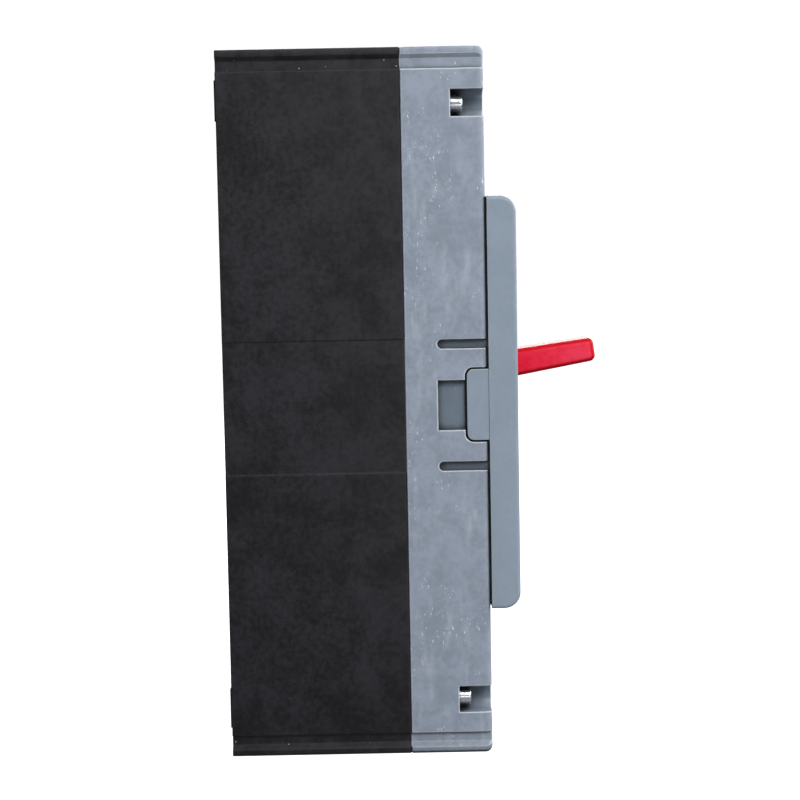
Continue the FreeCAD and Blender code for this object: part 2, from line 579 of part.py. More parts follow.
def make_case_fasteners():
    base = "well_floor + flat_washer"
    seat = f"{base} + lock_washer"
    corners = [(x, z) for _, x, z in well_points()]
    subpart("cover_screws", group(*[screw(x, z, seat, "joint_depth - 10") for x, z in corners]))
    washers = []
    for x, z in corners:
        washers.append(cut(rod_depth(x, z, "well_floor", base, "flat_washer_radius"),
                           rod_depth(x, z, "well_floor - 1", f"{base} + 1", "screw_shank + 0.15")))
        washers.append(split_ring(x, z, base, seat, "screw_head + 0.1", "screw_shank + 0.15"))
    subpart("cover_screw_washers", group(*washers))
    inserts = [cut(rod_depth(x, z, "joint_depth - insert_length", "joint_depth - 0.2", "insert_outer"),
                   rod_depth(x, z, "joint_depth - insert_length - 1", "joint_depth", "insert_inner"))
               for x, z in corners]
    subpart("threaded_inserts", group(*inserts))
    places = [(f"{side} * fascia_screw_x", f"{end} * fascia_screw_z") for side in SIDES for end in SIDES]
    subpart("accessory_cover_screws", group(*[screw(x, z, "fascia_seat", "cover_depth - 10")
                                              for x, z in places]))


def make_rear_pieces():
    x, z = "rear_recess_x - rear_plate_gap", "rear_recess_z - rear_plate_gap"
    top = "pad_rise + rear_recess - 0.05"
    subpart("rear_plate", box(f"-({x})", x, f"{top} - rear_plate_thick", top, f"-({z})", z, "rear_plate"))
    screws = []
    for side in SIDES:
        for end in SIDES:
            sx = f"{side} * mech_screw_x"
            sz = "foot_high_z - foot_half" if end > 0 else "foot_low_z + foot_half"
            low = "mech_head_seat - mech_head_tall"
            head = cut(rod_depth(sx, sz, low, "mech_head_seat", "mech_head"),
                       box(f"{sx} - 3", f"{sx} + 3", f"{low} - 1", f"{low} + 1", f"{sz} - 0.5",
                           f"{sz} + 0.5"))
            screws.append(fuse(head, rod_depth(sx, sz, "mech_head_seat", "floor_depth + foot_thick",
                                               "mech_screw")))
    subpart("mechanism_screws", group(*screws))


def turned(item):
    """Turns an upright lever piece about the lever's pivot to the closed position."""
    item.Placement = FreeCAD.Placement(ORIGIN, FreeCAD.Rotation(FreeCAD.Vector(-1, 0, 0),
                                                                size("lever_on")))
    item.setExpression("Placement.Rotation.Angle", linked("lever_on"))
    return bind(item, Placement__Base__y="-lever_pivot * (1 - cos(lever_on))",
                Placement__Base__z="-lever_pivot * sin(lever_on)")


def make_handle():
    def lean(depth):
        return f"grip_lean * (({depth}) - grip_lean_at)"

    root, tip = "handle_shoulder - 2", "grip_tip"
    points = [(root, f"{lean(root)} - grip_root_half"), (tip, f"{lean(tip)} - grip_tip_half"),
              (tip, f"{lean(tip)} + grip_tip_half"), (root, f"{lean(root)} + grip_root_half")]
    grip = prism("side", points, "-grip_x", "2 * grip_x", "grip")
    round_edges(grip, "grip_corner", lambda edge: runs_along(edge, "z")
                and near(edge.CenterOfMass.y, f"-({tip})"))
    round_edges(grip, "grip_round", lambda edge: edge.CenterOfMass.y < -size("handle_shoulder + 1")
                and not runs_along(edge, "z"))
    foot = box("-handle_base_x", "handle_base_x", "lever_top + 0.05", "handle_shoulder", "-handle_base_z",
               "handle_base_z")
    return subpart("handle", turned(fuse(grip, foot, name="handle")))


def make_lever():
    under = "lever_top - lever_thick"
    points = [("lever_pivot - lever_leg_half", "-lever_leg_half"), (under, "-lever_top_half"),
              (under, "lever_top_half"), ("lever_pivot - lever_leg_half", "lever_leg_half")]
    legs = []
    outer = "lever_leg_x + lever_thick"
    for x0 in ("lever_leg_x", f"-({outer})"):
        leg = prism("side", points, x0, "lever_thick", "leg")
        legs.append(round_edges(leg, "lever_leg_half - 0.4", lambda edge: runs_along(edge, "x")
                                and near(edge.CenterOfMass.y, "lever_leg_half - lever_pivot")))
    bridge = box(f"-({outer})", outer, under, "lever_top", "-lever_top_half", "lever_top_half")
    holes = [rod_x(f"-({outer}) - 1", f"{outer} + 1", "lever_pivot", "0", "lever_hole")]
    holes += [rod_depth(f"{side} * 11", "3", f"{under} - 1", "lever_top + 1", "1.6") for side in SIDES]
    subpart("handle_lever", turned(cut(fuse(*legs, bridge), *holes, name="handle_lever")))


def make_shutter():
    centre = "(shutter_low + shutter_thick / 2 - lever_pivot) * tan(lever_on)"
    top = "shutter_low + shutter_thick"
    sheet_part = box("-shutter_x", "shutter_x", "shutter_low", top,
                     f"{centre} - shutter_half_z", f"{centre} + shutter_half_z")
    half_z = "(grip_root_half + shutter_gap)"
    hole = box("-grip_x - 0.8", "grip_x + 0.8", "shutter_low - 1", f"{top} + 1",
               f"{centre} - {half_z} + 0.3", f"{centre} + {half_z} + 0.3")
    return subpart("handle_shutter", cut(sheet_part, hole, name="handle_shutter"))


def make_side_plates():
    points = [("floor_depth", "plate_low_z"), ("plate_top - 14", "plate_low_z"),
              ("plate_top", "plate_low_z + 12"),
              ("plate_top", "plate_high_z - 12"), ("plate_top - 14", "plate_high_z"),
              ("floor_depth", "plate_high_z")]
    for label, side in (("side_plate_left", -1), ("side_plate_right", 1)):
        x0 = "plate_x" if side > 0 else "-plate_x - plate_thick"
        x1 = f"{x0} + plate_thick"
        plate = prism("side", points, x0, "plate_thick", "side_sheet")
        foot_x = ("foot_inner", "plate_x + 0.5") if side > 0 else ("-plate_x - 0.5", "-foot_inner")
        feet = [box(*foot_x, "floor_depth", "floor_depth + foot_thick", "foot_high_z - 2 * foot_half",
                    "foot_high_z"),
                box(*foot_x, "floor_depth", "floor_depth + foot_thick", "foot_low_z",
                    "foot_low_z + 2 * foot_half")]
        holes = [rod_x(f"{x0} - 1", f"{x1} + 1", "shaft_depth", "shaft_z", "shaft_radius + 0.8"),
                 box(f"{x0} - 1", f"{x1} + 1", "shaft_depth - shaft_radius - 0.8",
                     "shaft_depth + shaft_radius + 0.8",
                     "plate_low_z - 1", "shaft_z"),
                 rod_x(f"{x0} - 1", f"{x1} + 1", "cradle_pivot_depth", "cradle_pivot_z",
                       "cradle_pin + link_fit"),
                 rod_x(f"{x0} - 1", f"{x1} + 1", "latch_pivot_depth", "latch_z", "latch_pin + link_fit"),
                 rod_x(f"{x0} - 1", f"{x1} + 1", "lever_pivot", "0", "lever_pin + link_fit")]
        for z in ("foot_high_z - foot_half", "foot_low_z + foot_half"):
            holes.append(rod_depth(f"{side} * mech_screw_x", z, "floor_depth - 1",
                                   "floor_depth + foot_thick + 1",
                                   "mech_screw + link_fit"))
        subpart(label, cut(fuse(plate, *feet), *holes, name=label))
    reach = "lever_leg_x + lever_thick + 0.4"
    pins = [rod_x("plate_x - 0.6", reach, "lever_pivot", "0", "lever_pin"),
            rod_x(f"-({reach})", "0.6 - plate_x", "lever_pivot", "0", "lever_pin")]
    reach = "plate_x + plate_thick + 0.6"
    pins.append(rod_x(f"-({reach})", reach, "cradle_pivot_depth", "cradle_pivot_z", "cradle_pin"))
    pins.append(rod_x(f"-({reach})", reach, "latch_pivot_depth", "latch_z", "latch_pin"))
    subpart("mechanism_pins", group(*pins))


def make_cradle():
    points = [("cradle_pivot_depth - 4.4", "cradle_pivot_z + 5"),
              ("cradle_pivot_depth - 4.4", "cradle_pivot_z - 5"),
              ("link_top_depth - 5", "link_top_z + 4"), ("link_top_depth - 5", "cradle_hook_z + 3"),
              ("cradle_tip_depth - 4", "cradle_hook_z"), ("cradle_tip_depth", "cradle_hook_z"),
              ("cradle_tip_depth", "cradle_hook_z + 6"), ("link_top_depth + 5", "link_top_z"),
              ("cradle_pivot_depth + 6", "cradle_pivot_z + 5")]
    plate = prism("side", points, "-cradle_half", "2 * cradle_half", "cradle_plate")
    holes = [rod_x("-cradle_half - 1", "cradle_half + 1", "cradle_pivot_depth", "cradle_pivot_z",
                   "cradle_pin + link_fit"),
             rod_x("-cradle_half - 1", "cradle_half + 1", "link_top_depth", "link_top_z",
                   "link_pin + link_fit")]
    subpart("cradle", cut(plate, *holes, name="cradle"))
    reach = "upper_x + upper_thick + 0.5"
    subpart("link_pin", rod_x(f"-({reach})", reach, "link_top_depth", "link_top_z", "link_pin"))


def link_plate(x0, thick, first, second, holes):
    """A flat link with round ends between two (depth, z) pivots."""
    (d0, z0), (d1, z1) = first, second
    x1 = f"({x0}) + {thick}"
    spread = f"(link_round - 0.2) / sqrt((({d1}) - ({d0})) ^ 2 + (({z1}) - ({z0})) ^ 2)"
    off_d, off_z = f"({spread}) * (({z1}) - ({z0}))", f"({spread}) * (({d0}) - ({d1}))"
    points = [(f"{d0} + {off_d}", f"{z0} + {off_z}"), (f"{d1} + {off_d}", f"{z1} + {off_z}"),
              (f"{d1} - ({off_d})", f"{z1} - ({off_z})"), (f"{d0} - ({off_d})", f"{z0} - ({off_z})")]
    web = prism("side", points, x0, thick, "web")
    ends = [rod_x(x0, x1, d, z, "link_round") for d, z in (first, second)]
    cuts = [rod_x(f"({x0}) - 1", f"{x1} + 1", d, z, radius)
            for (d, z), radius in zip((first, second), holes)]
    return cut(fuse(web, *ends), *cuts)


def make_links():
    top, knee = ("link_top_depth", "link_top_z"), ("knee_depth", "knee_z")
    crank = ("crank_depth", "crank_z")
    fit, loose = "link_pin + link_fit", "crank_hole"
    subpart("upper_links", group(*[link_plate(x0, "upper_thick", top, knee, (fit, fit))
                                   for x0 in ("upper_x", "-upper_x - upper_thick")]))
    subpart("lower_links", group(*[link_plate(x0, "lower_thick", knee, crank, (fit, loose))
                                   for x0 in ("lower_x", "-lower_x - lower_thick")]))
    subpart("knee_pin", rod_x("-knee_reach", "knee_reach", "knee_depth", "knee_z", "link_pin"))


def coil(x, depth, z, radius, wire, turns, length, direction):
    """A coil spring of round wire with ground ends, along a direction from its first end."""
    path = Part.makeHelix(length / turns, length, radius)
    section = Part.Wire([Part.makeCircle(wire, FreeCAD.Vector(radius, 0, 0), FreeCAD.Vector(0, 1, 0))])
    solid = Part.Wire(path.Edges).makePipeShell([section], True, True)
    item = doc.addObject("Part::Feature", "coil")
    item.Shape = solid
    item.Placement = FreeCAD.Placement(FreeCAD.Vector(x, -depth, z),
                                       FreeCAD.Rotation(FreeCAD.Vector(0, 0, 1), direction))
    return item


def make_springs():
    """Main springs from the knee pin to the lever, and the small return springs."""
    knee = FreeCAD.Vector(0, -size("knee_depth"), size("knee_z"))
    reach, turn = size("lever_top - lever_thick - lever_pivot"), math.radians(size("lever_on"))
    hook = FreeCAD.Vector(0, -size("lever_pivot") - reach * math.cos(turn), reach * math.sin(turn))
    way = hook - knee
    span = way.Length
    way.normalize()
    first = knee + way * 3.4
    coils = [coil(side * 10.5, -first.y, first.z, 2.0, 0.5, 10, span - 6.2, way) for side in SIDES]
    subpart("main_springs", group(*coils))
    button_seat = size("pocket_floor") + 0.6
    subpart("button_spring", coil(size("button_x"), button_seat, size("button_z"), 3.1, 0.35, 5,
                                  size("fascia_depth - fascia_skin - 3") - button_seat - 0.8,
                                  FreeCAD.Vector(0, -1, 0)))
    returns = [coil(size(x) - 7.2, 42, size("yoke_back_z + yoke_thick") + 0.6, 1.2, 0.25, 6,
                    size("armature_z - yoke_back_z - yoke_thick") - 1.4, FreeCAD.Vector(0, 0, 1))
               for x in POLES.values()]
    subpart("armature_springs", group(*returns))


def make_shaft():
    bar = rod_x("-shaft_reach", "shaft_reach", "shaft_depth", "shaft_z", "shaft_radius")
    parts = [bar]
    cuts = []
    for x in POLES.values():
        points = [("block_low", "block_low_z + 4"), ("block_low", "block_high_z"),
                  ("block_high - 4", "block_high_z"),
                  ("block_high - 1", "block_high_z - 6"), ("block_high - 3", "block_low_z"),
                  ("block_low + 4", "block_low_z")]
        parts.append(prism("side", points, f"{x} - block_x", "2 * block_x", "holder"))
        slot = "(arm_half + arm_clear)"
        cuts.append(box(f"{x} - {slot}", f"{x} + {slot}", "block_low - 1", "block_high + 1",
                        "block_low_z + 4",
                        "block_high_z + 1"))
        cuts.append(rod_x(f"{x} - block_x - 1", f"{x} + block_x + 1", "shaft_depth", "shaft_z",
                          "arm_pin + link_fit"))
    ear_low = "lower_x + lower_thick + 0.8"
    for x0, x1 in ((ear_low, "block_x"), ("-block_x", f"-({ear_low})")):
        parts.append(rod_x(x0, x1, "crank_depth", "crank_z", "crank_ear"))
        parts.append(box(x0, x1, "shaft_depth", "crank_depth", "crank_z - crank_ear",
                         "crank_z + crank_ear - 2"))
    cuts.append(rod_x("-block_x - 1", "block_x + 1", "crank_depth", "crank_z", "crank_pin + link_fit"))
    cuts.append(box(f"-({ear_low})", ear_low, "arm_front + 0.3", "block_high + 6", "block_low_z + 7",
                    "crank_z + 12"))
    subpart("contact_shaft", cut(fuse(*parts), *cuts, name="contact_shaft"))
    pins = [rod_x(f"{x} - block_x + 0.4", f"{x} + block_x - 0.4", "shaft_depth", "shaft_z", "arm_pin")
            for x in POLES.values()]
    pins.append(rod_x("-block_x + 0.3", "block_x - 0.3", "crank_depth", "crank_z", "crank_pin"))
    subpart("shaft_pins", group(*pins))


def make_contacts():
    tips, seats, runners = [], [], []
    for pole, x in POLES.items():
        points = [("arm_back - 1.5", "block_low_z + 5"), ("arm_back - 2.5", "shaft_z + 6"),
                  ("arm_back", "20"),
                  ("arm_back", "arm_tip_z"), ("arm_front - 3", "arm_tip_z"),
                  ("arm_front", "arm_tip_z - 12"),
                  ("arm_front", "block_low_z + 5")]
        arm = prism("side", points, f"{x} - arm_half", "2 * arm_half", "arm")
        hole = rod_x(f"{x} - arm_half - 1", f"{x} + arm_half + 1", "shaft_depth", "shaft_z",
                     "arm_pin + link_fit")
        subpart(f"contact_arm_{pole}", cut(arm, hole, name="contact_arm"))
        tip_back = "arm_back - tip_thick"
        tips.append(box(f"{x} - tip_half_x", f"{x} + tip_half_x", tip_back, "arm_back", "tip_low_z",
                        "tip_low_z + 10"))
        seats.append(box(f"{x} - tip_half_x", f"{x} + tip_half_x", "leg_high", f"{tip_back}", "tip_low_z",
                         "tip_low_z + 10"))
        runners.append(box(f"{x} - 6", f"{x} + 6", "leg_high", "leg_high + 1.6", "tip_low_z + 11",
                           "leg_end"))
    subpart("moving_contacts", group(*tips))
    subpart("fixed_contacts", group(*seats))
    subpart("arc_runners", group(*runners))


def make_line_straps():
    screws = []
    for pole, x in POLES.items():
        deep = "strap_low + strap_thick"
        pad_high = "bay_floor + strap_thick"
        points = [("bay_floor", "strap_wide_from"), (pad_high, "strap_wide_from"),
                  (pad_high, "strap_drop_z"),
                  (deep, "strap_drop_z"), (deep, "loop_z + strap_thick"),
                  ("leg_high - strap_thick", "loop_z + strap_thick"),
                  ("leg_high - strap_thick", "leg_end"), ("leg_high", "leg_end"), ("leg_high", "loop_z"),
                  ("strap_low", "loop_z"), ("strap_low", "strap_drop_z + strap_thick"),
                  ("bay_floor", "strap_drop_z + strap_thick")]
        neck = prism("side", points, f"{x} - strap_neck_half", "2 * strap_neck_half", "strap_neck")
        pad = box(f"{x} - strap_half", f"{x} + strap_half", "bay_floor", pad_high, "strap_wide_from - 1",
                  "strap_end")
        holes = [rod_depth(x, "bolt_z", "bay_floor - 1", f"{pad_high} + 1", "bolt_clear"),
                 rod_depth(x, "strap_screw_z", "strap_low - 1", f"{deep} + 1", "strap_screw + 0.3")]
        subpart(f"line_strap_{pole}", cut(fuse(neck, pad), *holes, name="line_strap"))
        screws.append(screw(x, "strap_screw_z", deep, "floor_depth - 4.5", "strap_screw",
                            "strap_screw_head",
                            "strap_screw_head_tall"))
    return screws


def make_load_side(screws):
    strips, yokes, braids, adjusters = [], [], [], []
    for pole, x in POLES.items():
        pad_high = "bay_floor + strap_thick"
        deep = "heater_low + strap_thick"
        points = [("bay_floor", "-strap_wide_from"), (pad_high, "-strap_wide_from"),
                  (pad_high, "-heater_drop_z"),
                  (deep, "-heater_drop_z"), (deep, "-heater_end"), ("heater_low", "-heater_end"),
                  ("heater_low", "-heater_drop_z - strap_thick"),
                  ("bay_floor", "-heater_drop_z - strap_thick")]
        neck = prism("side", points, f"{x} - strap_neck_half", "2 * strap_neck_half", "heater_neck")
        pad = box(f"{x} - strap_half", f"{x} + strap_half", "bay_floor", pad_high, "-strap_end",
                  "1 - strap_wide_from")
        fix_z = "-heater_screw_z"
        spacer = rod_depth(x, fix_z, "floor_depth", "heater_low", "5")
        holes = [rod_depth(x, "-bolt_z", "bay_floor - 1", f"{pad_high} + 1", "bolt_clear"),
                 rod_depth(x, fix_z, "floor_depth - 1", f"{deep} + 1", "strap_screw + 0.3")]
        subpart(f"load_strap_{pole}", cut(fuse(neck, pad, spacer), *holes, name="load_strap"))
        screws.append(screw(x, fix_z, deep, "floor_depth - 4.5", "strap_screw", "strap_screw_head",
                            "strap_screw_head_tall"))
        foot = box(f"{x} - bimetal_half", f"{x} + bimetal_half", deep, f"{deep} + bimetal_thick",
                   "bimetal_z - bimetal_foot", "bimetal_z + bimetal_thick")
        strip = box(f"{x} - bimetal_half", f"{x} + bimetal_half", deep, "bimetal_top", "bimetal_z",
                    "bimetal_z + bimetal_thick")
        hole = rod_z(x, "adjust_depth", "bimetal_z - 1", "bimetal_z + 3", "adjust_radius + link_fit")
        strips.append(cut(fuse(foot, strip), hole))
        adjusters.append(rod_z(x, "adjust_depth", "bimetal_z - 3", "adjust_end", "adjust_radius"))
        yokes.append(make_yoke(x))
        braids.append(braid(x))
    subpart("strap_screws", group(*screws))
    subpart("bimetals", group(*strips))
    subpart("adjusting_screws", group(*adjusters))
    subpart("magnet_yokes", group(*yokes))
    subpart("braids", group(*braids))


def make_yoke(x):
    """A U-shaped magnet yoke standing on the load strap."""
    shell = box(f"{x} - yoke_x", f"{x} + yoke_x", "yoke_low", "yoke_high", "yoke_back_z", "yoke_front_z")
    inside = box(f"{x} - yoke_x + yoke_thick", f"{x} + yoke_x - yoke_thick", "yoke_low - 1",
                 "yoke_high + 1",
                 "yoke_back_z + yoke_thick", "yoke_front_z + 1")
    foot = box(f"{x} - 4", f"{x} + 4", "heater_low + strap_thick", "yoke_low + 2", "yoke_back_z",
               "yoke_back_z + yoke_thick")
    return fuse(cut(shell, inside), foot)


def braid(x):
    """The flexible conductor from the load strap to just behind the contact arm, as a plain bent band."""
    points = [("heater_low + strap_thick", "-heater_end"), ("heater_low + strap_thick", "-heater_end - 5"),
              ("heater_low + strap_thick + 3", "-heater_end - 5"),
              ("heater_low + strap_thick + 3", "-heater_end + 4"),
              ("heater_low + strap_thick + 12", "-heater_end + 9.5"),
              ("heater_low + strap_thick + 10", "-heater_end + 12.5"),
              ("heater_low + strap_thick", "-heater_end + 6")]
    return prism("side", points, f"{x} - 5", "10", "braid_band")


def make_release():
    parts = [rod_x("-trip_reach", "trip_reach", "trip_depth", "trip_z", "trip_radius")]
    for x in POLES.values():
        parts.append(box(f"{x} - 11", f"{x} + 11", "trip_finger_low", "trip_depth", "trip_finger_z",
                         "trip_finger_z + trip_finger_thick"))
        parts.append(box(f"{x} - 11", f"{x} + 11", "trip_depth - 2", "trip_depth + 1", "trip_finger_z",
                         "trip_z"))
    parts.append(box("button_x - 3", "button_x + 3", "trip_arm_low", "trip_arm_high", "trip_arm_end",
                     "trip_z"))
    subpart("trip_bar", fuse(*parts, name="trip_bar"))
    for pole, x in POLES.items():
        front = "armature_z + armature_thick"
        plate = box(f"{x} - armature_x", f"{x} + armature_x", "armature_low", "armature_hinge",
                    "armature_z", front)
        finger = box(f"{x} + finger_low_x", f"{x} + finger_high_x", "armature_hinge", "finger_top",
                     "armature_z", front)
        lug = box(f"{x} + finger_low_x", f"{x} + finger_high_x", "finger_top - 2.5", "finger_top",
                  "armature_z",
                  "finger_lug_z")
        subpart(f"armature_{pole}", fuse(plate, finger, lug, name="armature"))
    make_latch()
    collar_top = "fascia_depth - fascia_skin - 0.1"
    button = fuse(rod_depth("button_x", "button_z", collar_top, "button_front", "button_radius"),
                  rod_depth("button_x", "button_z", f"{collar_top} - 1.5", collar_top, "button_collar"),
                  rod_depth("button_x", "button_z", "button_end", collar_top, "button_rod"))
    subpart("trip_button", cut(button, box("button_x - 0.6", "button_x + 0.6", "button_front - 0.6",
                                           "button_front + 1",
                                           "button_z - 2.4", "button_z + 2.4"), name="trip_button"))


def make_latch():
    """A plate hooked over the cradle's tip, turning on its own pin."""
    x = "latch_half"
    top = "cradle_tip_depth + 0.2"
    plate = box(f"-{x}", x, "latch_pivot_depth", f"{top} + latch_hook", "latch_z - latch_thick", "latch_z")
    hook = box(f"-{x}", x, top, f"{top} + latch_hook", "latch_z - latch_thick", "cradle_hook_z + 3.5")
    boss = rod_x(f"-{x}", x, "latch_pivot_depth", "latch_z", "latch_pin + 1.4")
    window = box("-3", "3", "latch_pivot_depth + 8", "latch_pivot_depth + 16", "latch_z - 3",
                 "latch_z + 1")
    pin_hole = rod_x(f"-{x} - 1", f"{x} + 1", "latch_pivot_depth", "latch_z", "latch_pin + link_fit")
    subpart("latch", cut(fuse(plate, hook, boss), window, pin_hole, name="latch"))


def make_arc_chutes():
    boards, baffles = [], []
    for pole, x in POLES.items():
        plates = []
        for index in range(int(size("splitter_count"))):
            d0 = f"splitter_first + {index} * splitter_step"
            points = [(f"{x} - chute_x", "chute_low_z"), (f"{x} - notch_mouth", "chute_low_z"),
                      (x, "notch_tip_z"),
                      (f"{x} + notch_mouth", "chute_low_z"), (f"{x} + chute_x", "chute_low_z"),
                      (f"{x} + chute_x", "chute_high_z"), (f"{x} - chute_x", "chute_high_z")]
            plates.append(prism("front", points, d0, "splitter_thick", "splitter"))
        subpart(f"arc_splitters_{pole}", group(*plates))
        for x0 in (f"{x} + chute_x + 0.05", f"{x} - chute_x - 0.05 - chute_board"):
            boards.append(box(x0, f"{x0} + chute_board", "board_low", "board_high", "board_low_z",
                              "chute_high_z + 1"))
        low = "bay_floor + strap_thick + 0.2"
        half = "(strap_neck_half + 0.6 - baffle_gap)"
        for end in SIDES:
            z0, z1 = (("bay_inner - end_wall", "bay_inner") if end > 0 else
                      ("-bay_inner", "end_wall - bay_inner"))
            core = box(f"{x} - {half}", f"{x} + {half}", low, "joint_depth - 0.1", z0, z1)
            z0, z1 = (("bay_inner - 2.8", "bay_inner - 1.2") if end > 0 else
                      ("1.2 - bay_inner", "2.8 - bay_inner"))
            wings = box(f"{x} - baffle_half + 4 + baffle_gap", f"{x} + baffle_half - 4 - baffle_gap", low,
                        "joint_depth - 0.1", z0, z1)
            plate = fuse(core, wings)
            if end > 0:
                slits = [box(f"{x} - 7", f"{x} + 7", f"{low} + 5 + {k} * 6", f"{low} + 7.5 + {k} * 6",
                             "bay_inner - end_wall - 1", "bay_inner + 1") for k in range(4)]
                plate = cut(plate, *slits)
            baffles.append(plate)
    subpart("arc_chute_boards", group(*boards))
    subpart("end_baffles", group(*baffles))


def make_terminals():
    washers, lock_washers, nuts = [], [], []
    face = "bay_floor + strap_thick"
    for label, end in (("line_terminal_bolts", 1), ("load_terminal_bolts", -1)):
        bolts = []
        for x in POLES.values():
            z = f"{end} * bolt_z"
            seat = f"{face} + washer_thick + spring_washer_thick"
            top = f"{seat} + bolt_head_tall"
            socket = doc.addObject("Part::Prism", "socket")
            socket.Polygon = 6
            bind(socket, Circumradius="hex_flat / 2 / cos(30)", Height="hex_depth + 1")
            place(socket, x, f"{top} - hex_depth", z, ALONG_DEPTH)
            body = fuse(softened(rod_depth(x, z, seat, top, "bolt_head"), top),
                        rod_depth(x, z, f"{seat} - bolt_length", seat, "bolt_radius"))
            bolts.append(cut(body, socket))
            washers.append(cut(rod_depth(x, z, face, f"{face} + washer_thick", "washer_radius"),
                               rod_depth(x, z, f"{face} - 1", f"{face} + 4", "bolt_radius + 0.4")))
            lock_washers.append(split_ring(x, z, f"{face} + washer_thick", seat, "spring_washer_radius",
                                           "bolt_radius + 0.3"))
            nuts.append(cut(box(f"{x} - nut_half", f"{x} + nut_half", "bay_floor - nut_thick - 0.1",
                                "bay_floor - 0.1",
                                f"{z} - nut_half", f"{z} + nut_half"),
                            rod_depth(x, z, "bay_floor - nut_thick - 1", "bay_floor + 1",
                                      "bolt_radius + 0.05")))
        subpart(label, group(*bolts))
    subpart("terminal_washers", group(*washers))
    subpart("terminal_lock_washers", group(*lock_washers))
    subpart("terminal_nuts", group(*nuts))


def make_label():
    x = "label_x - label_gap"
    low = "fascia_depth - label_recess"
    subpart("rating_label", box(f"-({x})", x, low, f"{low} + label_thick", "label_low + label_gap",
                                "label_high - label_gap", "rating_label"))


def save_subparts():
    """Checks every object, then writes each sub-part to its own file."""
    doc.recompute()
    bad = [item.Label for item in doc.Objects if {"Invalid", "Error"} & set(item.State)]
    for item in subparts:
        shape = item.Shape
        if shape.isNull() or not shape.isValid() or not shape.Solids:
            bad.append(item.Label)
    if bad:
        raise RuntimeError(f"these objects failed: {bad}")
    os.makedirs("parts", exist_ok=True)
    for item in subparts:
        item.Shape.exportStep(f"parts/{item.Label}.step")


make_base()
make_main_cover()
make_accessory_cover()
make_case_fasteners()
make_rear_pieces()
make_handle()
make_lever()
make_shutter()
make_side_plates()
make_cradle()
make_links()
make_springs()
make_shaft()
make_contacts()
make_load_side(make_line_straps())
make_release()
make_arc_chutes()
make_terminals()
make_label()
save_subparts()
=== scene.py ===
"""Materials, printed details, copied springs, light and camera for the molded case breaker."""
import json
import math

import bmesh
import bpy
from mathutils import Matrix, Vector


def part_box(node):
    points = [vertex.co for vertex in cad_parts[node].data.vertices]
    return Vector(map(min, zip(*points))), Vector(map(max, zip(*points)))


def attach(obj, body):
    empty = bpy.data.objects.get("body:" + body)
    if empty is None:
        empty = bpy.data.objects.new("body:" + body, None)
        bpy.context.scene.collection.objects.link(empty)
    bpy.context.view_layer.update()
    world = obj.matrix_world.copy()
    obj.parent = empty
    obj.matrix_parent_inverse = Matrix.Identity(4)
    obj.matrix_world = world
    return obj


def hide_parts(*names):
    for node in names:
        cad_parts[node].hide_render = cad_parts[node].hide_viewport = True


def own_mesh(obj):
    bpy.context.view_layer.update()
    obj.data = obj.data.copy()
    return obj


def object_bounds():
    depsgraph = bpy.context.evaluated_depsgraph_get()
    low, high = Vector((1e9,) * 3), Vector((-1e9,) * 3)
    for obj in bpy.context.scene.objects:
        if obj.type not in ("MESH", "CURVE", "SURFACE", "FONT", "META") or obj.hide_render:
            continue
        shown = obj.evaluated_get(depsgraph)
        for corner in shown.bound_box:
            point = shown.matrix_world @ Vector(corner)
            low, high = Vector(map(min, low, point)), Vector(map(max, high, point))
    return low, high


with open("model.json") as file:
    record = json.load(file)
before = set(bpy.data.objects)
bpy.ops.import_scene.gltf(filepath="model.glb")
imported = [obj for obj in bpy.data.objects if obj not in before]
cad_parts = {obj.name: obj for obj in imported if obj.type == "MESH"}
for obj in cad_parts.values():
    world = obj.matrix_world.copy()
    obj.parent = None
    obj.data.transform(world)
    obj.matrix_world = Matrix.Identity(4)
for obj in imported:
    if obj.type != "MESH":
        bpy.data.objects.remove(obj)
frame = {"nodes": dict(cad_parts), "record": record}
cad_low, cad_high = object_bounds()
scene = bpy.context.scene

MM = 0.001
PER_MM = 1000.0


# ---------------------------------------------------------------- node helpers

NOISE_LOW, NOISE_HIGH = 0.3, 0.7            # the range that most of a noise's values fall in
PATCH_STARTS, PATCH_FULL = 0.4, 0.65        # noise levels at which a dusty patch begins and peaks
EDGE_STARTS, EDGE_FULL = 0.97, 0.82         # how alike a rounded and a true normal are on an edge
BEVEL_SAMPLES = 4
OPENNESS_SAMPLES = 6


def add(tree, kind, inputs=(), **settings):
    """Adds a shader node, sets its settings, and sets or links its inputs."""
    made = tree.nodes.new("ShaderNode" + kind)
    for name, value in settings.items():
        setattr(made, name, value)
    for key, value in dict(inputs).items():
        socket = made.inputs[key]
        if isinstance(value, bpy.types.NodeSocket):
            tree.links.new(value, socket)
        else:
            socket.default_value = value
    return made


def math_node(tree, operation, first, second=0.0):
    return add(tree, "Math", {0: first, 1: second}, operation=operation).outputs[0]


def remap(tree, value, start, end, low=0.0, high=1.0):
    """Takes start..end of a value to low..high, clamped and eased."""
    inputs = {"Value": value, "From Min": start, "From Max": end, "To Min": low, "To Max": high}
    return add(tree, "MapRange", inputs, interpolation_type="SMOOTHSTEP").outputs["Result"]


def noise(tree, coords, feature_mm, detail=3.0, roughness=0.55, distortion=0.0):
    """Cloudy noise whose features are about feature_mm across."""
    inputs = {"Vector": coords, "Scale": PER_MM / feature_mm, "Detail": detail,
              "Roughness": roughness, "Distortion": distortion}
    return add(tree, "TexNoise", inputs).outputs[0]


def streaks(tree, coords, scale, detail=2.0, turn=(0, 0, 0)):
    """Noise drawn out along one axis by a scale per axis, then turned by degrees."""
    angles = tuple(math.radians(a) for a in turn)
    inputs = {"Vector": coords, "Rotation": angles, "Scale": scale}
    along = add(tree, "Mapping", inputs).outputs[0]
    return add(tree, "TexNoise", {"Vector": along, "Scale": 1.0, "Detail": detail}).outputs[0]


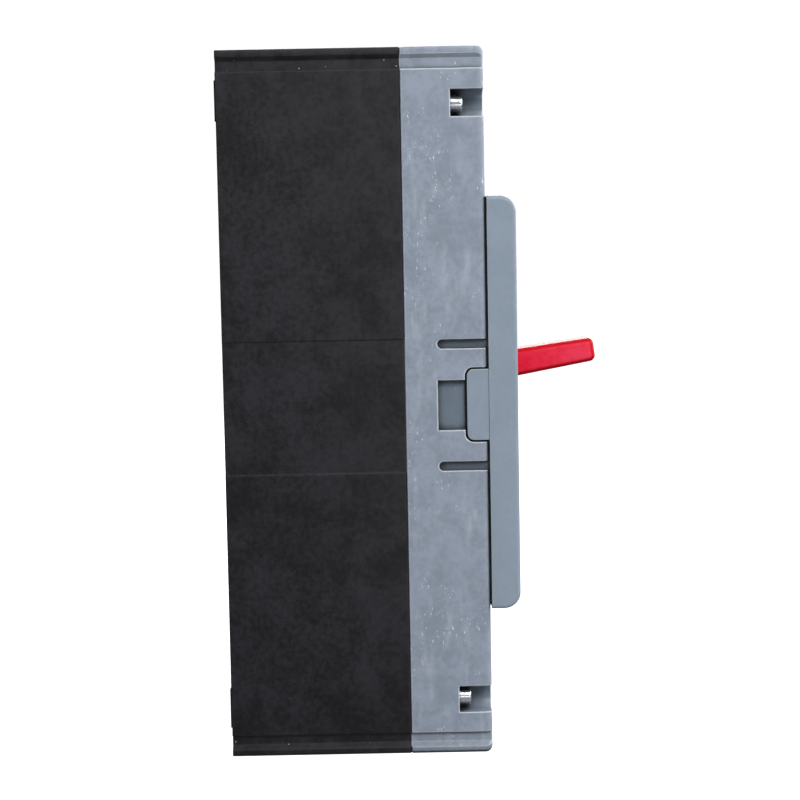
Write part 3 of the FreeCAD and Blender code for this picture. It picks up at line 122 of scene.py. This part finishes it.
def blend_colors(tree, factor, first, second):
    made = add(tree, "Mix", {0: factor, 6: first, 7: second}, data_type="RGBA")
    return made.outputs[2]


def rgba(color):
    return (*color, 1.0)


def shaded(color, share):
    return tuple(c * share for c in color)


def one_axis(tree, vector, axis):
    return add(tree, "SeparateXYZ", {"Vector": vector}).outputs[axis]


def side_facing(tree, start, end):
    """A mask of the surfaces that face left or right, from how far their normal leans that way."""
    normal = add(tree, "TexCoord").outputs["Normal"]
    lean = math_node(tree, "ABSOLUTE", one_axis(tree, normal, "X"))
    return remap(tree, lean, start, end)


def specks(tree, coords, spacing_mm, largest, patch_mm):
    """Scattered round specks of mixed sizes, thicker in some patches, as a mask."""
    cells = add(tree, "TexVoronoi", {"Vector": coords, "Scale": PER_MM / spacing_mm})
    chance = add(tree, "SeparateColor", {"Color": cells.outputs["Color"]}).outputs[0]
    cloud = noise(tree, coords, patch_mm, detail=2.0)
    patch = remap(tree, cloud, PATCH_STARTS, PATCH_FULL, largest * 0.5, largest)
    radius = math_node(tree, "MULTIPLY", math_node(tree, "POWER", chance, 2.0), patch)
    inside = math_node(tree, "SUBTRACT", radius, cells.outputs["Distance"])
    return remap(tree, inside, 0.0, largest * 0.3)


def scratches(tree, coords, turn, length_mm, width_mm, rarity, patch_mm, patch_level):
    """Fine straight marks that keep to a few rubbed patches, as a mask."""
    fine, coarse = PER_MM / width_mm, PER_MM / length_mm
    line = streaks(tree, coords, (fine, fine, coarse), detail=1.0, turn=turn)
    marks = remap(tree, line, rarity, rarity + 0.05)
    cloud = noise(tree, coords, patch_mm, detail=2.0)
    patch = remap(tree, cloud, patch_level, patch_level + 0.07)
    return math_node(tree, "MULTIPLY", marks, patch)


def sunk_floor_shade(tree, coords):
    """A mask of painted shade on the floors sunk into the two side faces, from how far in they
    lie.
    """
    across = math_node(tree, "ABSOLUTE", one_axis(tree, coords, "X"))
    start = cad_high.x - RECESS_STARTS * MM
    full = cad_high.x - RECESS_FULL * MM
    sunk = remap(tree, across, start, full, 0.0, RECESS_AMOUNT)
    return math_node(tree, "MULTIPLY", sunk, side_facing(tree, 0.8, 0.95))


def soft_edges(tree, radius_mm):
    """A normal that rounds sharp edges."""
    return add(tree, "Bevel", {"Radius": radius_mm * MM}, samples=BEVEL_SAMPLES).outputs[0]


def edge_mask(tree, soft):
    """Where a soft_edges normal leaves the true one, which is along the sharp edges."""
    plain = add(tree, "NewGeometry").outputs["Normal"]
    dot = add(tree, "VectorMath", {0: soft, 1: plain}, operation="DOT_PRODUCT").outputs["Value"]
    return remap(tree, dot, EDGE_STARTS, EDGE_FULL)


def openness(tree, reach_mm):
    """How open the surface is to its surroundings within a short reach, from 0 to 1."""
    made = add(tree, "AmbientOcclusion", {"Distance": reach_mm * MM}, samples=OPENNESS_SAMPLES)
    return made.outputs["AO"]


def bumped(tree, height, depth_mm, normal, strength):
    inputs = {"Height": height, "Distance": depth_mm * MM, "Strength": strength, "Normal": normal}
    return add(tree, "Bump", inputs).outputs[0]


def new_material(name):
    made = bpy.data.materials.new(name)
    made.use_nodes = True
    tree = made.node_tree
    tree.nodes.clear()
    coords = add(tree, "TexCoord").outputs["Object"]
    return made, tree, coords


def finish_material(made, tree, sockets, normal=None):
    """Ends a material with one Principled shader."""
    shader = add(tree, "BsdfPrincipled", sockets)
    if normal is not None:
        tree.links.new(normal, shader.inputs["Normal"])
    output = add(tree, "OutputMaterial")
    tree.links.new(shader.outputs[0], output.inputs["Surface"])
    return made


# ------------------------------------------------------------------- materials

RECESS_STARTS = 1.5         # mm in from the side faces, where painted shade on sunk floors begins
RECESS_FULL = 2.1
RECESS_AMOUNT = 0.8
JOINT_REACH = 3.0           # mm, how near a wall has to be for painted shade to gather at a joint
POCKET_REACH = 12.0         # mm, the same for the painted shade inside a pocket
METAL_JOINT_REACH = 2.0
POCKET_SHADE = 0.4          # of the dark colour, as painted shade in a pocket
JOINT_SHADE = 0.06          # and as painted shade right at a joint
METAL_JOINT_SHADE = 0.05
CLOUD_SHARE = 0.62          # of the plastic's colour; the rest is the finer mottle
MOTTLE_MM = 2.2
METAL_EDGE_MM = 0.15
METAL_EDGE_GAIN = 1.2
METAL_EDGE_WEAR = 0.5
FIBRE_PATCH_MM = 12
RED_MOTTLE_MM = 3.0
RED_SWIRL_MM = 0.9
FILM_GRAIN_MM = 0.6
FILM_PATCH_MM = 14


def scuffed(tree, coords, color, scuffs):
    """Lays two directions of short scratches and a rubbed haze over a colour."""
    marks = scratches(tree, coords, scuffs["turn"], scuffs["length"], scuffs["width"],
                      scuffs["rarity"], scuffs["patch"], scuffs["level"])
    marks_too = scratches(tree, coords, scuffs["turn_too"], scuffs["length"] * 0.7,
                          scuffs["width"], scuffs["rarity"], scuffs["patch"] * 0.8,
                          scuffs["level"])
    both = math_node(tree, "MAXIMUM", marks, marks_too)
    color = blend_colors(tree, both, color, rgba(scuffs["color"]))
    rubbed = streaks(tree, coords, scuffs["smear"], detail=3.0)
    haze = remap(tree, rubbed, 0.55, 0.78, 0.0, scuffs["haze"])
    return blend_colors(tree, haze, color, rgba(scuffs["color"])), both


def moulding(name, dark, light, roughness, specular, edge_mm=0.35, painted_edge_color=None,
             edge_highlight_amount=0.0, dust=None, scuffs=None, cloud_mm=16, grain_mm=0.5,
             grain_depth=0.012, crevice_shade=0.0, recess_shade_color=None):
    """Moulded plastic: cloudy colour, fine grain, painted edge highlights and shade, dust, scuffs.
    """
    made, tree, coords = new_material(name)
    normal = soft_edges(tree, edge_mm)
    cloud = noise(tree, coords, cloud_mm, detail=4.0, roughness=0.6, distortion=0.4)
    mottle = noise(tree, coords, MOTTLE_MM, roughness=0.65)
    mixed = math_node(tree, "ADD", math_node(tree, "MULTIPLY", cloud, CLOUD_SHARE),
                      math_node(tree, "MULTIPLY", mottle, 1 - CLOUD_SHARE))
    color = blend_colors(tree, remap(tree, mixed, 0.36, 0.64), rgba(dark), rgba(light))
    rough = remap(tree, mottle, NOISE_LOW, NOISE_HIGH, *roughness)
    joint = openness(tree, JOINT_REACH) if painted_edge_color or crevice_shade else None
    # The edge colour is a painted highlight along the outer sharp edges.
    if painted_edge_color:
        outside = remap(tree, joint, 0.6, 0.9, 0.0, edge_highlight_amount)
        edge_wear_and_highlight = math_node(tree, "MULTIPLY", edge_mask(tree, normal), outside)
        color = blend_colors(tree, edge_wear_and_highlight, color, rgba(painted_edge_color))
    if scuffs:
        color, marks = scuffed(tree, coords, color, scuffs)
        rough = math_node(tree, "ADD", rough, math_node(tree, "MULTIPLY", marks, 0.2))
    # Painted shade on the floors sunk into the side faces.
    if recess_shade_color:
        color = blend_colors(tree, sunk_floor_shade(tree, coords), color, rgba(recess_shade_color))
    if dust:
        grains = specks(tree, coords, dust["spacing"], dust["largest"], dust["patch"])
        shown = math_node(tree, "MULTIPLY", grains, dust["amount"])
        color = blend_colors(tree, shown, color, rgba(dust["color"]))
    # Painted shade: darker in pockets and right at joints, from how open the surface is.
    if crevice_shade:
        pocket = remap(tree, openness(tree, POCKET_REACH), 0.8, 0.3, 0.0, crevice_shade * 0.7)
        color = blend_colors(tree, pocket, color, rgba(shaded(dark, POCKET_SHADE)))
        deep = remap(tree, joint, 0.9, 0.35, 0.0, crevice_shade)
        color = blend_colors(tree, deep, color, rgba(shaded(dark, JOINT_SHADE)))
    grain = noise(tree, coords, grain_mm, detail=2.0)
    normal = bumped(tree, grain, grain_depth, normal, strength=0.5)
    sockets = {"Base Color": color, "Roughness": rough, "Specular IOR Level": specular}
    return finish_material(made, tree, sockets, normal)


def metal(name, base, stain, roughness, brushed=(1, 1, 1), brush_mm=0.12, stain_mm=6):
    """Plated or bare metal: brushed streaks, stains, bright edges and painted shade in the joints.
    """
    made, tree, coords = new_material(name)
    normal = soft_edges(tree, METAL_EDGE_MM)
    scale = tuple(PER_MM / brush_mm / k for k in brushed)
    brush = streaks(tree, coords, scale)
    cloud = noise(tree, coords, stain_mm, detail=4.0, roughness=0.62, distortion=0.6)
    blotch = remap(tree, cloud, 0.42, 0.68)
    color = blend_colors(tree, blotch, rgba(base), rgba(stain))
    bright = tuple(min(1.0, c * METAL_EDGE_GAIN) for c in base)
    edge_wear_and_highlight = math_node(tree, "MULTIPLY", edge_mask(tree, normal), METAL_EDGE_WEAR)
    color = blend_colors(tree, edge_wear_and_highlight, color, rgba(bright))
    # Painted shade: darker right at joints, from how open the surface is.
    deep = remap(tree, openness(tree, METAL_JOINT_REACH), 0.75, 0.3, 0.0, 0.9)
    color = blend_colors(tree, deep, color, rgba(shaded(base, METAL_JOINT_SHADE)))
    rough = math_node(tree, "ADD", remap(tree, brush, NOISE_LOW, NOISE_HIGH, *roughness),
                      math_node(tree, "MULTIPLY", blotch, 0.08))
    normal = bumped(tree, brush, 0.006, normal, strength=0.6)
    sockets = {"Base Color": color, "Roughness": rough, "Metallic": 1.0}
    return finish_material(made, tree, sockets, normal)


def fibre(name, base, fleck, roughness):
    """Pressed fibre board or card with fine crossed fibres."""
    made, tree, coords = new_material(name)
    one = streaks(tree, coords, (4000, 4000, 500), turn=(20, 35, 10))
    two = streaks(tree, coords, (4000, 500, 4000), turn=(70, 15, 60))
    fibres = math_node(tree, "MAXIMUM", one, two)
    color = blend_colors(tree, remap(tree, fibres, 0.45, 0.72), rgba(base), rgba(fleck))
    patch = noise(tree, coords, FIBRE_PATCH_MM)
    shade = remap(tree, patch, NOISE_LOW, NOISE_HIGH, 0.0, 0.25)
    color = blend_colors(tree, shade, color, rgba(shaded(base, 0.6)))
    rough = remap(tree, fibres, 0.4, 0.7, *roughness)
    normal = bumped(tree, fibres, 0.02, soft_edges(tree, 0.12), strength=0.5)
    sockets = {"Base Color": color, "Roughness": rough, "Specular IOR Level": 0.3}
    return finish_material(made, tree, sockets, normal)


def red_plastic(name, face_color, sheen_color, painted_edge_color, sheen_fade=None):
    """Semi-gloss red moulding: glossy edges painted darker than the side faces, which carry a
    painted sheen.

    The last argument is the range of depth over which the painted sheen grows, from the root
    to the tip, with a painted shadow on the side faces just at the root.
    """
    made, tree, coords = new_material(name)
    # The side faces get the face colour, and the edges and top the edge colour, a painted shade.
    flat = side_facing(tree, 0.8, 0.99)
    mottle = noise(tree, coords, RED_MOTTLE_MM)
    tone_and_sheen = remap(tree, mottle, NOISE_LOW, NOISE_HIGH, 0.0, 0.28)
    # A painted sheen that grows towards the tip, and a painted shadow at the root.
    if sheen_fade:
        root, tip = sheen_fade
        depth = one_axis(tree, coords, "Y")
        tone_and_sheen = math_node(tree, "ADD", tone_and_sheen, remap(tree, depth, root, tip, 0.0, 0.68))
        shadow = remap(tree, depth, root - 1.5 * MM, root)
        flat = math_node(tree, "MULTIPLY", flat, math_node(tree, "SUBTRACT", 1.0, shadow))
    face = blend_colors(tree, tone_and_sheen, rgba(face_color), rgba(sheen_color))
    color = blend_colors(tree, flat, rgba(painted_edge_color), face)
    swirl = noise(tree, coords, RED_SWIRL_MM, detail=2.0)
    rough = math_node(tree, "ADD", remap(tree, swirl, NOISE_LOW, NOISE_HIGH, 0.38, 0.48),
                      math_node(tree, "MULTIPLY", flat, 0.08))
    normal = bumped(tree, swirl, 0.008, soft_edges(tree, 0.4), strength=0.5)
    sockets = {"Base Color": color, "Roughness": rough, "Specular IOR Level": 0.06,
               "Subsurface Weight": 0.05, "Subsurface Radius": (0.002, 0.0006, 0.0005)}
    return finish_material(made, tree, sockets, normal)


def film(name, base, fleck):
    """Satin printed film."""
    made, tree, coords = new_material(name)
    fine = noise(tree, coords, FILM_GRAIN_MM, detail=2.0)
    patch = noise(tree, coords, FILM_PATCH_MM, detail=2.0)
    color = blend_colors(tree, remap(tree, patch, 0.35, 0.65), rgba(base), rgba(fleck))
    rough = remap(tree, fine, NOISE_LOW, NOISE_HIGH, 0.3, 0.4)
    normal = bumped(tree, patch, 0.03, soft_edges(tree, 0.08), strength=0.3)
    return finish_material(made, tree, {"Base Color": color, "Roughness": rough}, normal)


# Spacing, length, width and patch are in mm, largest is a share of the spacing, and turn is in
# degrees. Rarity and level are noise levels, and smear is a scale per axis.
DUST = {"spacing": 2.3, "largest": 0.135, "patch": 34, "amount": 0.9, "color": (0.4, 0.41, 0.45)}
LIGHT_DUST = {"spacing": 3.6, "largest": 0.1, "patch": 26, "amount": 0.9,
              "color": (0.8, 0.83, 0.88)}
SCUFFS = {"turn": (24, 0, 0), "turn_too": (-48, 0, 0), "length": 1.9, "width": 0.4, "rarity": 0.7,
          "patch": 17, "level": 0.57, "color": (0.7, 0.74, 0.8), "haze": 0.13,
          "smear": (220.0, 220.0, 60.0)}

handle_depths = (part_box("accessory_cover")[0].y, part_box("handle")[0].y)

# In the mouldings the edge colour paints a highlight along the sharp edges, and the recess colour
# and crevice amount paint shade on sunk floors, in pockets and at joints. In the red mouldings the
# side faces carry a painted sheen and the edges and top a painted shade.
finishes = {
    "black_moulding": moulding("black_moulding_worn", (0.002, 0.0018, 0.0035),
                               (0.0135, 0.013, 0.017), (0.42, 0.56), 0.28, edge_mm=0.9,
                               painted_edge_color=(0.04, 0.04, 0.048), edge_highlight_amount=0.6, dust=DUST,
                               grain_depth=0.02),
    "grey_moulding": moulding("grey_moulding_worn", (0.185, 0.216, 0.264),
                              (0.238, 0.274, 0.332), (0.42, 0.58), 0.25, edge_mm=0.9,
                              painted_edge_color=(0.8, 0.84, 0.9), edge_highlight_amount=1.0, dust=LIGHT_DUST,
                              scuffs=SCUFFS, cloud_mm=9, crevice_shade=0.98,
                              recess_shade_color=(0.085, 0.117, 0.15)),
    "grey_fascia": moulding("grey_fascia_satin", (0.192, 0.235, 0.285), (0.215, 0.26, 0.313),
                            (0.38, 0.5), 0.28, edge_mm=0.7, painted_edge_color=(0.6, 0.65, 0.7),
                            edge_highlight_amount=0.8, cloud_mm=24, grain_depth=0.006, crevice_shade=0.98),
    "grey_shutter": moulding("grey_shutter_satin", (0.09, 0.108, 0.135), (0.11, 0.13, 0.16),
                             (0.36, 0.48), 0.3, cloud_mm=18, grain_depth=0.006),
    "red_moulding": red_plastic("red_moulding_gloss", (0.58, 0.003, 0.02), (0.7, 0.04, 0.08),
                                (0.42, 0.0005, 0.006), handle_depths),
    "red_button": red_plastic("red_button_gloss", (0.5, 0.006, 0.012), (0.56, 0.012, 0.02),
                              (0.5, 0.004, 0.008)),
    "bright_zinc": metal("bright_zinc_plate", (0.72, 0.74, 0.76), (0.5, 0.53, 0.58),
                         (0.14, 0.26)),
    "plated_steel": metal("plated_steel_satin", (0.6, 0.58, 0.52), (0.44, 0.42, 0.36),
                          (0.26, 0.42), brushed=(6, 1, 1)),
    "spring_steel": metal("spring_steel_drawn", (0.38, 0.38, 0.4), (0.24, 0.24, 0.26),
                          (0.22, 0.36)),
    "brass": metal("brass_turned", (0.74, 0.53, 0.24), (0.55, 0.36, 0.14), (0.2, 0.34)),
    "silvered_copper": metal("silvered_copper_dull", (0.74, 0.72, 0.69), (0.56, 0.53, 0.48),
                             (0.3, 0.46), brushed=(1, 1, 8), stain_mm=9),
    "copper": metal("copper_tarnished", (0.72, 0.34, 0.2), (0.42, 0.19, 0.11), (0.28, 0.44),
                    brushed=(1, 1, 5)),
    "silver_alloy": metal("silver_alloy_sintered", (0.76, 0.75, 0.72), (0.52, 0.5, 0.46),
                          (0.42, 0.58), brush_mm=0.2, stain_mm=2.5),
    "bare_steel": metal("bare_steel_rolled", (0.42, 0.42, 0.43), (0.28, 0.26, 0.25),
                        (0.3, 0.46), brushed=(1, 5, 1)),
    "fibre_board": fibre("fibre_board_pressed", (0.3, 0.1, 0.06), (0.42, 0.17, 0.1),
                         (0.55, 0.7)),
    "shaft_moulding": moulding("shaft_moulding_dark", (0.02, 0.018, 0.016),
                               (0.035, 0.03, 0.026), (0.4, 0.54), 0.3, grain_depth=0.015),
    "label_film": film("label_film_satin", (0.62, 0.63, 0.64), (0.68, 0.69, 0.7)),
    "rear_card": fibre("rear_card_pressed", (0.02, 0.02, 0.022), (0.045, 0.045, 0.048),
                       (0.6, 0.75)),
}

for row in frame["record"]["subparts"]:
    mesh = frame["nodes"][row["node"]].data
    mesh.materials.clear()
    mesh.materials.append(finishes[row["material_slot"]])


# -------------------------------------------------------------- printed pieces

INK_THICK = 0.04            # mm, like every length below
MARK_SET_BACK = 0.45
MARK_WIDTH = 1.2
MARK_TALL = 3.6
MARK_TOP_Z = 23.2
MARK_LOW_Z = -34.8
RING_RADIUS = 2.4
RING_STEPS = 48
TABLE_WIDE = 110
TABLE_TALL = 20.6
TABLE_MIDDLE = -0.1
RULE_THICK = 0.22
RULE_HEIGHTS = (10.2, 4.4, -1.0, -6.4, -10.4)
COLUMN_EDGES = (-55, -27, 4, 31, 55)
ENTRY_HEIGHTS = (7.3, 1.7, -3.7, -8.4)
ENTRY_LEFTS = (-53, -25, 6, 33)
ENTRY_WIDTHS = ((18, 12, 21, 15), (14, 22, 12, 19), (20, 16, 18, 11), (11, 19, 14, 17))
ENTRY_TALL = 1.3


def new_object(name, build, material):
    """Makes an object from a bmesh, and frees the bmesh."""
    mesh = bpy.data.meshes.new(name)
    build.to_mesh(mesh)
    build.free()
    mesh.materials.append(material)
    piece = bpy.data.objects.new(name, mesh)
    scene.collection.objects.link(piece)
    return piece


def add_block(build, middle, size):
    """A thin block of ink, with its middle in metres and its size in mm."""
    block = bmesh.ops.create_cube(build, size=1.0)["verts"]
    scale = Matrix.Diagonal((*(side * MM for side in size), 1.0))
    bmesh.ops.transform(build, matrix=Matrix.Translation(middle) @ scale, verts=block)


def add_ring(build, front, middle_z):
    """A flat ring of ink whose back lies on a front face at depth front."""
    turns = [2 * math.pi * i / RING_STEPS for i in range(RING_STEPS)]
    rings = []
    for y in (front - INK_THICK * MM, front):
        for radius in (RING_RADIUS * MM, (RING_RADIUS - MARK_WIDTH) * MM):
            rings.append([build.verts.new((radius * math.cos(a), y,
                                           middle_z + radius * math.sin(a))) for a in turns])
    front_outer, front_inner, back_outer, back_inner = rings
    for one, two in ((front_outer, front_inner), (front_inner, back_inner),
                     (back_inner, back_outer), (back_outer, front_outer)):
        for i in range(RING_STEPS):
            after = (i + 1) % RING_STEPS
            build.faces.new((one[i], one[after], two[after], two[i]))
    bmesh.ops.recalc_face_normals(build, faces=build.faces)


def print_bars(name, node, bars, material):
    """Thin raised ink bars on the front of a node. Bars are (x, z, width, height) in mm."""
    low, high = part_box(node)
    middle = (low + high) / 2
    build = bmesh.new()
    for x, z, width, height in bars:
        where = Vector((middle.x + x * MM, low.y - INK_THICK * MM / 2, middle.z + z * MM))
        add_block(build, where, (width, INK_THICK, height))
    piece = new_object(name, build, material)
    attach(piece, "root")


def print_marks(name, node, material):
    """Ink on the raised stroke and ring that mark the two handle positions."""
    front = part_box(node)[0].y + MARK_SET_BACK * MM
    build = bmesh.new()
    where = Vector((0, front - INK_THICK * MM / 2, MARK_TOP_Z * MM))
    add_block(build, where, (MARK_WIDTH, INK_THICK, MARK_TALL))
    add_ring(build, front, MARK_LOW_Z * MM)
    piece = new_object(name, build, material)
    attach(piece, "root")


def label_bars():
    """A plain ruled table with generic bars where entries would be."""
    bars = [(0, z, TABLE_WIDE, RULE_THICK) for z in RULE_HEIGHTS]
    bars += [(x, TABLE_MIDDLE, RULE_THICK, TABLE_TALL) for x in COLUMN_EDGES]
    for z, widths in zip(ENTRY_HEIGHTS, ENTRY_WIDTHS):
        bars += [(left + wide / 2, z, wide, ENTRY_TALL) for left, wide in zip(ENTRY_LEFTS, widths)]
    return bars


ink = film("label_ink", (0.05, 0.055, 0.065), (0.07, 0.075, 0.085))
print_bars("label_print", "rating_label", label_bars(), ink)
white_ink = film("mark_ink", (0.7, 0.71, 0.72), (0.76, 0.77, 0.78))
print_marks("mark_print", "accessory_cover", white_ink)


# --------------------------------------------------------------------- springs

COIL_REACH = 4.0            # mm from a coil's middle that takes in all of it and no neighbour
COIL_OFFSET = 7.2           # mm from an armature's middle to its spring, towards the left


def squashed_spring(name, node, near_x=None):
    """A copy of a CAD coil, in place of the CAD one; near_x picks one of a group."""
    build = bmesh.new()
    build.from_mesh(frame["nodes"][node].data)
    if near_x is not None:
        others = [v for v in build.verts if abs(v.co.x - near_x) > COIL_REACH * MM]
        bmesh.ops.delete(build, geom=others, context="VERTS")
    piece = new_object(name, build, finishes["spring_steel"])
    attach(piece, "root")
    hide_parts(node)
    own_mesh(piece)


squashed_spring("button_spring_coil", "button_spring")
for letter, word in zip("abc", ("left", "centre", "right")):
    arm_low, arm_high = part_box("armature_" + letter)
    coil_x = (arm_low.x + arm_high.x) / 2 - COIL_OFFSET * MM
    squashed_spring(f"armature_spring_{word}", "armature_springs",
                    coil_x)


# ------------------------------------------------------------- stage and light

FLOOR_RADIUS = 6.0          # metres, like the softboxes below
BACKDROP_RADIUS = 7.0
PAPER_PATCH_MM = 40.0
WORLD_COLOR = (0.95, 0.97, 1.0, 1.0)
WORLD_STRENGTH = 0.34
SOFTBOXES = (               # name, offset from the object's middle, width, height, watts
    ("key_softbox", (-1.05, -0.45, 0.75), 0.6, 0.6, 17.0),
    ("top_softbox", (0.1, -0.2, 1.2), 0.7, 0.7, 5.0),
    ("front_softbox", (0.35, -1.2, 0.45), 0.7, 0.7, 14.0),
    ("right_softbox", (1.15, 0.1, 0.5), 0.7, 0.7, 12.0),
    ("back_softbox", (0.3, 1.2, 0.5), 0.7, 0.7, 20.0),
    ("floor_bounce", (-0.5, -0.25, -0.09), 0.5, 0.08, 0.4),
)

low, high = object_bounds()
centre = (low + high) / 2


def stage_piece(name, build, material):
    """A floor or backdrop that the camera sees, but that doesn't light or gloss the object."""
    piece = new_object(name, build, material)
    piece.location = (centre.x, centre.y, low.z)
    piece.visible_diffuse = False
    piece.visible_glossy = False
    return piece


def studio_white(name, albedo, glow):
    made, tree, coords = new_material(name)
    cloud = noise(tree, coords, PAPER_PATCH_MM, detail=2.0)
    paper = remap(tree, cloud, NOISE_LOW, NOISE_HIGH, 0.7, 0.8)
    sockets = {"Base Color": rgba((albedo,) * 3), "Roughness": paper, "Specular IOR Level": 0.1,
               "Emission Color": rgba((1, 1, 1)), "Emission Strength": glow}
    return finish_material(made, tree, sockets)


def softbox(name, offset, width, height, watts):
    """A large area light aimed at the middle of the object."""
    light = bpy.data.lights.new(name, "AREA")
    light.shape = "RECTANGLE"
    light.size, light.size_y = width, height
    light.energy = watts
    lamp = bpy.data.objects.new(name, light)
    lamp.location = centre + Vector(offset)
    lamp.rotation_mode = "QUATERNION"
    lamp.rotation_quaternion = (-Vector(offset)).to_track_quat("-Z", "Y")
    lamp.visible_camera = False
    scene.collection.objects.link(lamp)


disc = bmesh.new()
bmesh.ops.create_circle(disc, cap_ends=True, segments=96, radius=FLOOR_RADIUS)
stage_piece("studio_floor", disc, studio_white("studio_floor_white", 0.35, 1.0))
shell = bmesh.new()
bmesh.ops.create_uvsphere(shell, u_segments=48, v_segments=24, radius=BACKDROP_RADIUS)
backdrop = stage_piece("studio_backdrop", shell, studio_white("studio_backdrop_white", 0.0, 1.05))
backdrop.visible_shadow = False

for box in SOFTBOXES:
    softbox(*box)

world = bpy.data.worlds.new("studio_world")
world.use_nodes = True
sky = world.node_tree.nodes["Background"]
sky.inputs["Color"].default_value = WORLD_COLOR
sky.inputs["Strength"].default_value = WORLD_STRENGTH
scene.world = world


# ---------------------------------------------------------------------- camera

CAMERA_FROM_CENTRE = Vector((-0.67308, 0.00793, 0.05021))       # metres
CAMERA_HEADING = -90.08                                         # degrees
CAMERA_DROP = 4.585
CAMERA_ROLL = -1.076
LENS_MM = 74.6
SENSOR_MM = 36.0

camera_data = bpy.data.cameras.new("camera")
camera_data.lens = LENS_MM
camera_data.sensor_width = SENSOR_MM
camera = bpy.data.objects.new("camera", camera_data)
scene.collection.objects.link(camera)
look = (Matrix.Rotation(math.radians(CAMERA_HEADING), 4, "Z")
        @ Matrix.Rotation(math.radians(90 - CAMERA_DROP), 4, "X")
        @ Matrix.Rotation(math.radians(CAMERA_ROLL), 4, "Z"))
cad_centre = (cad_low + cad_high) / 2
camera.matrix_world = Matrix.Translation(cad_centre + CAMERA_FROM_CENTRE) @ look
scene.camera = camera

scene.view_settings.view_transform = "Standard"
scene.view_settings.look = "None"
